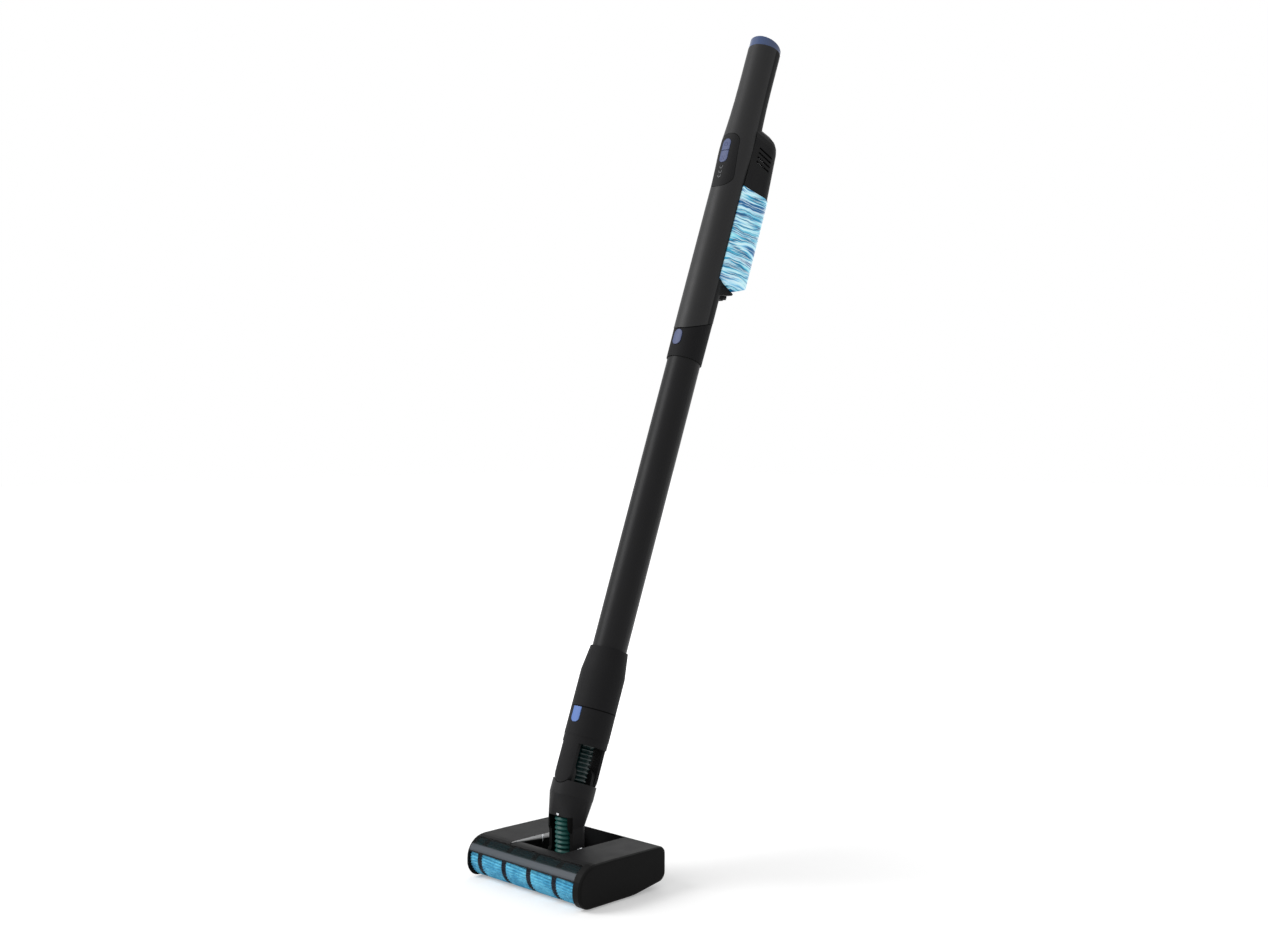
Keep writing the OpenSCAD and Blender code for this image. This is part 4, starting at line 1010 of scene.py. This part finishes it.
@dataclass
class PlushRoller:
    """The roller: blue pile in bands between dark bristle rings."""

    ring_half: float = 4.0
    first_ring: float = 16.5
    ring_pitch: float = 43.6
    rings: int = 4
    ring_gap: float = 0.2
    bristle_sunk: float = 0.3
    plush_round: int = 42
    bristle_round: int = 60
    backing: float = 3.0
    root_cover: float = 0.9
    bare_edge: float = 0.9
    spacing: float = 2.1
    row_turn: float = 2.399
    tuft: float = 2.3
    tuft_root_r: float = 1.5
    tuft_tip_r: float = 0.35
    tuft_sway: float = 0.22
    tuft_sway_step: float = 1.7
    axis: Vector = field(init=False)
    radius: float = field(init=False)

    def build(self) -> None:
        """Replaces the plain plush and rings by tufted pieces."""
        dress(CORE_BLUE, "roller_core")
        dress(ACETAL, "roller_pulley")
        low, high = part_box("roller_plush")
        self.axis = (low + high) / 2 / MM
        self.radius = (high.z - low.z) / 2 / MM
        left, right = low.x / MM, high.x / MM
        centres = [left + self.first_ring + self.ring_pitch * i for i in range(self.rings)]
        stops = [left, *[c + s * self.ring_half for c in centres for s in (-1, 1)], right]
        bands = list(zip(stops[0::2], stops[1::2]))
        pile = self._tufted("plush_pile", bands, 0.0, self.plush_round)
        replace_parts(pile.finish(PLUSH, "roller", "plush", smooth=60), "roller_plush")
        half = self.ring_half - self.ring_gap
        rings = [(centre - half, centre + half) for centre in centres]
        bristles = self._tufted("bristle_pile", rings, self.bristle_sunk, self.bristle_round)
        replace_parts(bristles.finish(BRISTLE, "roller", "bristle", smooth=60), "bristle_rings")

    def _tufted(
        self, name: str, bands: Sequence[Span], sunk: float, round_count: int
    ) -> Sketch:
        """Draws sleeves covered in rows of small tufts.

        Args:
            name: Name of the piece.
            bands: Left and right end of each sleeve.
            sunk: How far the tips stay below the roller's radius.
            round_count: Tufts in each row round the roller.

        Returns:
            The sketch.
        """
        place = Matrix.Translation((0, self.axis.y, self.axis.z)) @ ACROSS_FRAME
        sketch = Sketch(name, place)
        bm = sketch.mesh
        root = self.radius - sunk - self.tuft
        for left, right in bands:
            radii = (root - self.backing, root + self.root_cover)
            sketch.sleeve(radii, (left, right), steps=64)
            inner, outer = left + self.bare_edge, right - self.bare_edge
            rows = max(2, round((outer - inner) / self.spacing) + 1)
            row = self._row(bm, inner, root, round_count)
            for index in range(1, rows):
                copied = bmesh.ops.duplicate(bm, geom=row)["geom"]
                verts = [part for part in copied if isinstance(part, bmesh.types.BMVert)]
                step = (outer - inner) * index / (rows - 1)
                bmesh.ops.translate(bm, vec=(0, 0, step), verts=verts)
                turn = Matrix.Rotation(index * self.row_turn, 3, "Z")
                bmesh.ops.rotate(bm, cent=(0, 0, 0), matrix=turn, verts=verts)
        return sketch

    def _row(
        self, bm: bmesh.types.BMesh, at: float, root: float, count: int
    ) -> list[bmesh.types.BMVert | bmesh.types.BMEdge | bmesh.types.BMFace]:
        """Draws one row of tufts round the roller.

        Args:
            bm: The mesh drawn on.
            at: Place of the row along the roller.
            root: Radius at the tufts' roots.
            count: Number of tufts.

        Returns:
            The row's verts, edges and faces.
        """
        out = Matrix.Translation((root + self.tuft / 2, 0, at))
        verts: list[bmesh.types.BMVert] = []
        for index in range(count):
            turn = Matrix.Rotation(math.tau * index / count, 4, "Z")
            sway = self.tuft_sway * math.sin(index * self.tuft_sway_step)
            tilt = Matrix.Rotation(math.pi / 2 + sway, 4, "Y")
            made = bmesh.ops.create_cone(
                bm,
                cap_ends=False,
                segments=4,
                radius1=self.tuft_root_r,
                radius2=self.tuft_tip_r,
                depth=self.tuft,
                matrix=turn @ out @ tilt,
            )
            verts.extend(made["verts"])
        edges = {edge for vert in verts for edge in vert.link_edges}
        faces = {face for vert in verts for face in vert.link_faces}
        return [*verts, *edges, *faces]


@dataclass
class Neck:
    """The fork, the two hinges, the two hoses and the lower release button."""

    hose_r: float = 13.2
    bore_r: float = 10.4
    ridge: float = 1.9
    pitch: float = 5.4
    crest: float = 0.7
    points_per_ridge: int = 8
    lower_y: float = 2.0
    upper_ends: Span = (7.0, 96.5)
    upper_bend: Span = (30.0, 66.0)

    def build(self) -> None:
        """Dresses the neck and draws its hoses."""
        dress(FORK, "elbow_shell")
        dress(NECK, "neck_tube")
        dress(STEEL, "knee_stud", "tilt_pins", "lower_button_spring")
        dress(BRIGHT_BLUE, "lower_release_button")
        low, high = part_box("lower_hose")
        lower = Sketch("lower_hose_skin", Matrix.Translation((0, self.lower_y, low.z / MM)))
        self._corrugate(lower, (high.z - low.z) / MM)
        skin = lower.finish(HOSE, "", "hose_plastic", smooth=50)
        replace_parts(skin, "lower_hose")
        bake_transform(skin)
        start, end = self.upper_ends
        upper = Sketch("upper_hose_skin", STICK_FRAME @ Matrix.Translation((0, 0, start)))
        self._corrugate(upper, end - start)
        # The upper hose takes the darker hose colour: painted shade inside the neck tube.
        skin = upper.finish(SHADED_HOSE, "", "hose_plastic", smooth=50)
        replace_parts(skin, "upper_hose")
        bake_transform(skin)

    def _corrugate(self, sketch: Sketch, length: float) -> None:
        """Draws a hose with rounded ridges from z = 0 up.

        Args:
            sketch: The piece drawn on.
            length: Length of the hose.
        """
        ridges = round(length / self.pitch)
        points = ridges * self.points_per_ridge
        outline = []
        for index in range(points + 1):
            wave = 0.5 - 0.5 * math.cos(math.tau * index / self.points_per_ridge)
            radius = self.hose_r - self.ridge * (1 - wave**self.crest)
            outline.append((radius, length * index / points))
        sketch.lathe([(self.bore_r, 0.0), *outline, (self.bore_r, length)], steps=64)


@dataclass
class Wand:
    """The wand with its foot, its top collar and the upper release button."""

    seam_s: float = 126.0
    seam_r: float = 27.9
    seam_height: float = 1.3

    def build(self) -> None:
        """Dresses the wand and draws a black band, a painted shadow, in the seam under its
        foot.
        """
        dress(NECK, "wand_foot", "wand_collar")
        dress(WAND, "wand_tube")
        dress(BLUE, "upper_release_button")
        dress(STEEL, "upper_button_spring")
        dress(RUBBER, "neck_seal")
        # A black band paints the shadow in the seam under the foot.
        foot = Sketch("foot_seam_shadow", STICK_FRAME)
        foot.band(self.seam_r, self.seam_s, self.seam_height)
        foot.finish(SEAM_SHADOW, "wand", "rubber")


@dataclass(frozen=True)
class Mark:
    """A raised ring on the front of the stick, with a bar or without one.

    The bar is given as half its width, its lower end and its upper end from the ring's middle,
    and levels are the depth of the mark's back and front from the face.
    """

    name: str
    height: float
    face_r: float
    ring: Span
    bar: Point | None = None
    finish: Finish = MARK
    body: str = "hand_unit"
    slot: str = "cover_plastic"
    levels: Span = (-0.4, 0.06)

    def build(self) -> None:
        """Draws the mark, with Z out of the face."""
        place = STICK_FRAME @ Matrix.Translation((0, -self.face_r, self.height))
        sketch = Sketch(self.name, place @ Matrix.Rotation(math.pi / 2, 4, "X"))
        sketch.sleeve(self.ring, self.levels, steps=48)
        if self.bar:
            half, low, high = self.bar
            outline = [(-half, low), (half, low), (half, high), (-half, high)]
            sketch.loft([[(x, y, z) for x, y in outline] for z in self.levels])
        sketch.finish(self.finish, self.body, self.slot)


@dataclass
class HandUnit:
    """The hand unit: shells, panel, buttons, motor, battery and end cap."""

    seam_s: float = 636.6
    seam_r: float = 23.95
    seam_height: float = 0.8
    seam_slope: float = 0.56
    marks: tuple[Mark, ...] = (
        # Rims round the three lights, painted grey as a glint.
        Mark("light_rim_1", 841.1, 23.98, (1.8, 2.4), finish=GLINT_RIM),
        Mark("light_rim_2", 847.6, 24.18, (1.8, 2.4), finish=GLINT_RIM),
        Mark("light_rim_3", 854.1, 24.42, (1.8, 2.4), finish=GLINT_RIM),
        Mark(
            "power_mark",
            886.4,
            26.1,
            (2.3, 2.8),
            bar=(0.25, 0.6, 3.6),
            body="power_key",
            slot="blue_button",
        ),
        Mark(
            "mode_mark",
            868.6,
            25.55,
            (1.5, 2.0),
            bar=(2.6, -4.1, -3.6),
            body="mode_key",
            slot="bright_button",
        ),
    )

    def build(self) -> None:
        """Dresses the hand unit and draws a painted shadow band in its seam, painted glint rims
        round its lights, and key marks.
        """
        dress(FRONT, "front_shell")
        dress(SHELL, "rear_tube_shell", "motor_housing", "rear_grip", "cup_latch")
        dress(PANEL, "control_panel")
        dress(BLUE, "power_button", "mode_button")
        dress(END_BLUE, "end_cap")
        dress(LENS, "indicator_lights")
        dress(INNER, "inlet_pipe", "battery_holder", "charge_socket")
        dress(RUBBER, "nozzle_seal")
        dress(STEEL, "power_button_spring", "mode_button_spring", "latch_spring", "fan_motor")
        dress(DARK_STEEL, "grip_screws")
        dress(ACETAL, "impeller")
        dress(BOARD, "circuit_board")
        dress(WRAP, "battery_cells")
        # A black band paints the shadow in the seam between the shells.
        seam = Sketch("hand_seam", STICK_FRAME)
        seam.band(self.seam_r, self.seam_s, self.seam_height, self.seam_slope)
        seam.finish(SEAM_SHADOW, "hand_unit", "rubber")
        for mark in self.marks:
            mark.build()


@dataclass
class DustCup:
    """The removable cup with its filter and screen."""

    def build(self) -> None:
        """Dresses the cup."""
        dress(CUP, "dust_cup")
        dress(RUBBER, "cup_gasket")
        dress(PAPER, "dust_filter")
        dress(MESH, "mesh_screen")


# ---- studio -------------------------------------------------------------------


@dataclass(frozen=True)
class SoftBox:
    """A rectangular lamp that faces the middle of the object, in metres and watts."""

    name: str
    at: Point
    size: Span
    power: float
    aim: Point = (0.0, 0.15, 0.5)

    def build(self) -> None:
        """Places the lamp."""
        light = bpy.data.lights.new(self.name, "AREA")
        light.shape = "RECTANGLE"
        light.size, light.size_y = self.size
        light.energy = self.power
        lamp = bpy.data.objects.new(self.name, light)
        lamp.location = self.at
        towards = Vector(self.aim) - Vector(self.at)
        lamp.rotation_euler = towards.to_track_quat("-Z", "Y").to_euler()
        bpy.context.scene.collection.objects.link(lamp)


@dataclass
class Studio:
    """Camera, floor, world and lamps, with places in metres and angles in degrees."""

    camera_at: Point = (1.30424, -1.22192, 0.54835)
    azimuth: float = 44.2
    dip: float = 1.9
    lens: float = 42.587
    sensor: float = 36.0
    far: float = 50.0
    surround: float = 0.56
    floor_half: float = 12.0
    floor_tones: Span = (0.78, 0.80)
    floor_cloud: Pattern = Pattern(3.0)
    floor_lift: float = 0.32
    far_lift: float = 0.75
    lift_span: Span = (0.3, 1.1)
    lamps: tuple[SoftBox, ...] = (
        SoftBox("key", (-1.5, -1.75, 1.95), (1.3, 1.9), 58.0),
        SoftBox("rear", (-1.2, 2.0, 1.7), (1.4, 1.4), 9.0),
    )

    def build(self) -> None:
        """Sets up the view and the light."""
        bpy.context.scene.view_settings.view_transform = "Standard"
        self._camera()
        self._world()
        self._floor()
        for lamp in self.lamps:
            lamp.build()

    def _camera(self) -> None:
        """Stands the camera off the object's front corner, on the +X side."""
        lens = bpy.data.cameras.new("camera")
        lens.sensor_width = self.sensor
        lens.lens = self.lens
        lens.clip_end = self.far
        camera = bpy.data.objects.new("camera", lens)
        camera.location = self.camera_at
        camera.rotation_euler = (math.radians(90 - self.dip), 0, math.radians(self.azimuth))
        bpy.context.scene.collection.objects.link(camera)
        bpy.context.scene.camera = camera

    def _world(self) -> None:
        """A white surround for the camera, gloss and glass, and a softer fill."""
        world = bpy.data.worlds.new("studio")
        bpy.context.scene.world = world
        g = Graph(world)
        level = g.seen() * (1 - self.surround) + self.surround
        white = {"Color": (1.0, 1.0, 1.0), "Strength": level}
        g.finish(g.node("ShaderNodeBackground", {}, white), "ShaderNodeOutputWorld")

    def _floor(self) -> None:
        """A plain pale floor that keeps the shadow and pales away from the object."""
        bm = bmesh.new()
        bmesh.ops.create_grid(bm, x_segments=1, y_segments=1, size=self.floor_half)
        data = bpy.data.meshes.new("floor")
        bm.to_mesh(data)
        bm.free()
        material = bpy.data.materials.new("pale_floor")
        g = Graph(material)
        where = g.coordinates()
        greys = [(tone,) * 3 for tone in self.floor_tones]
        paint = g.surface(
            Base_Color=g.blend(g.noise(where, self.floor_cloud), *greys),
            Roughness=0.9,
            Specular_IOR_Level=0.0,
        )
        away = g.node("ShaderNodeVectorMath", {"operation": "LENGTH"}, {0: where}, output=1)
        fade = away.above(*self.lift_span) * (self.far_lift - self.floor_lift)
        lift = g.seen() * (fade + self.floor_lift)
        glow = g.node("ShaderNodeEmission", {}, {"Strength": lift})
        g.finish(g.node("ShaderNodeAddShader", {}, {0: paint, 1: glow}))
        data.materials.append(material)
        floor = bpy.data.objects.new("floor", data)
        bpy.context.scene.collection.objects.link(floor)


def corners(box: Sequence[Vector]) -> list[list[float]]:
    """A box's two corners as plain lists."""
    return [[float(value) for value in corner] for corner in box]


def main() -> None:
    """Builds the studio and every sub-assembly in order."""
    logging.basicConfig(level=logging.INFO, format="%(name)s: %(message)s")
    Studio().build()
    for part in (RollerHead(), PlushRoller(), Neck(), Wand(), HandUnit(), DustCup()):
        part.build()
        log.info("built %s", type(part).__name__)


if __name__ == "__main__":
    main()
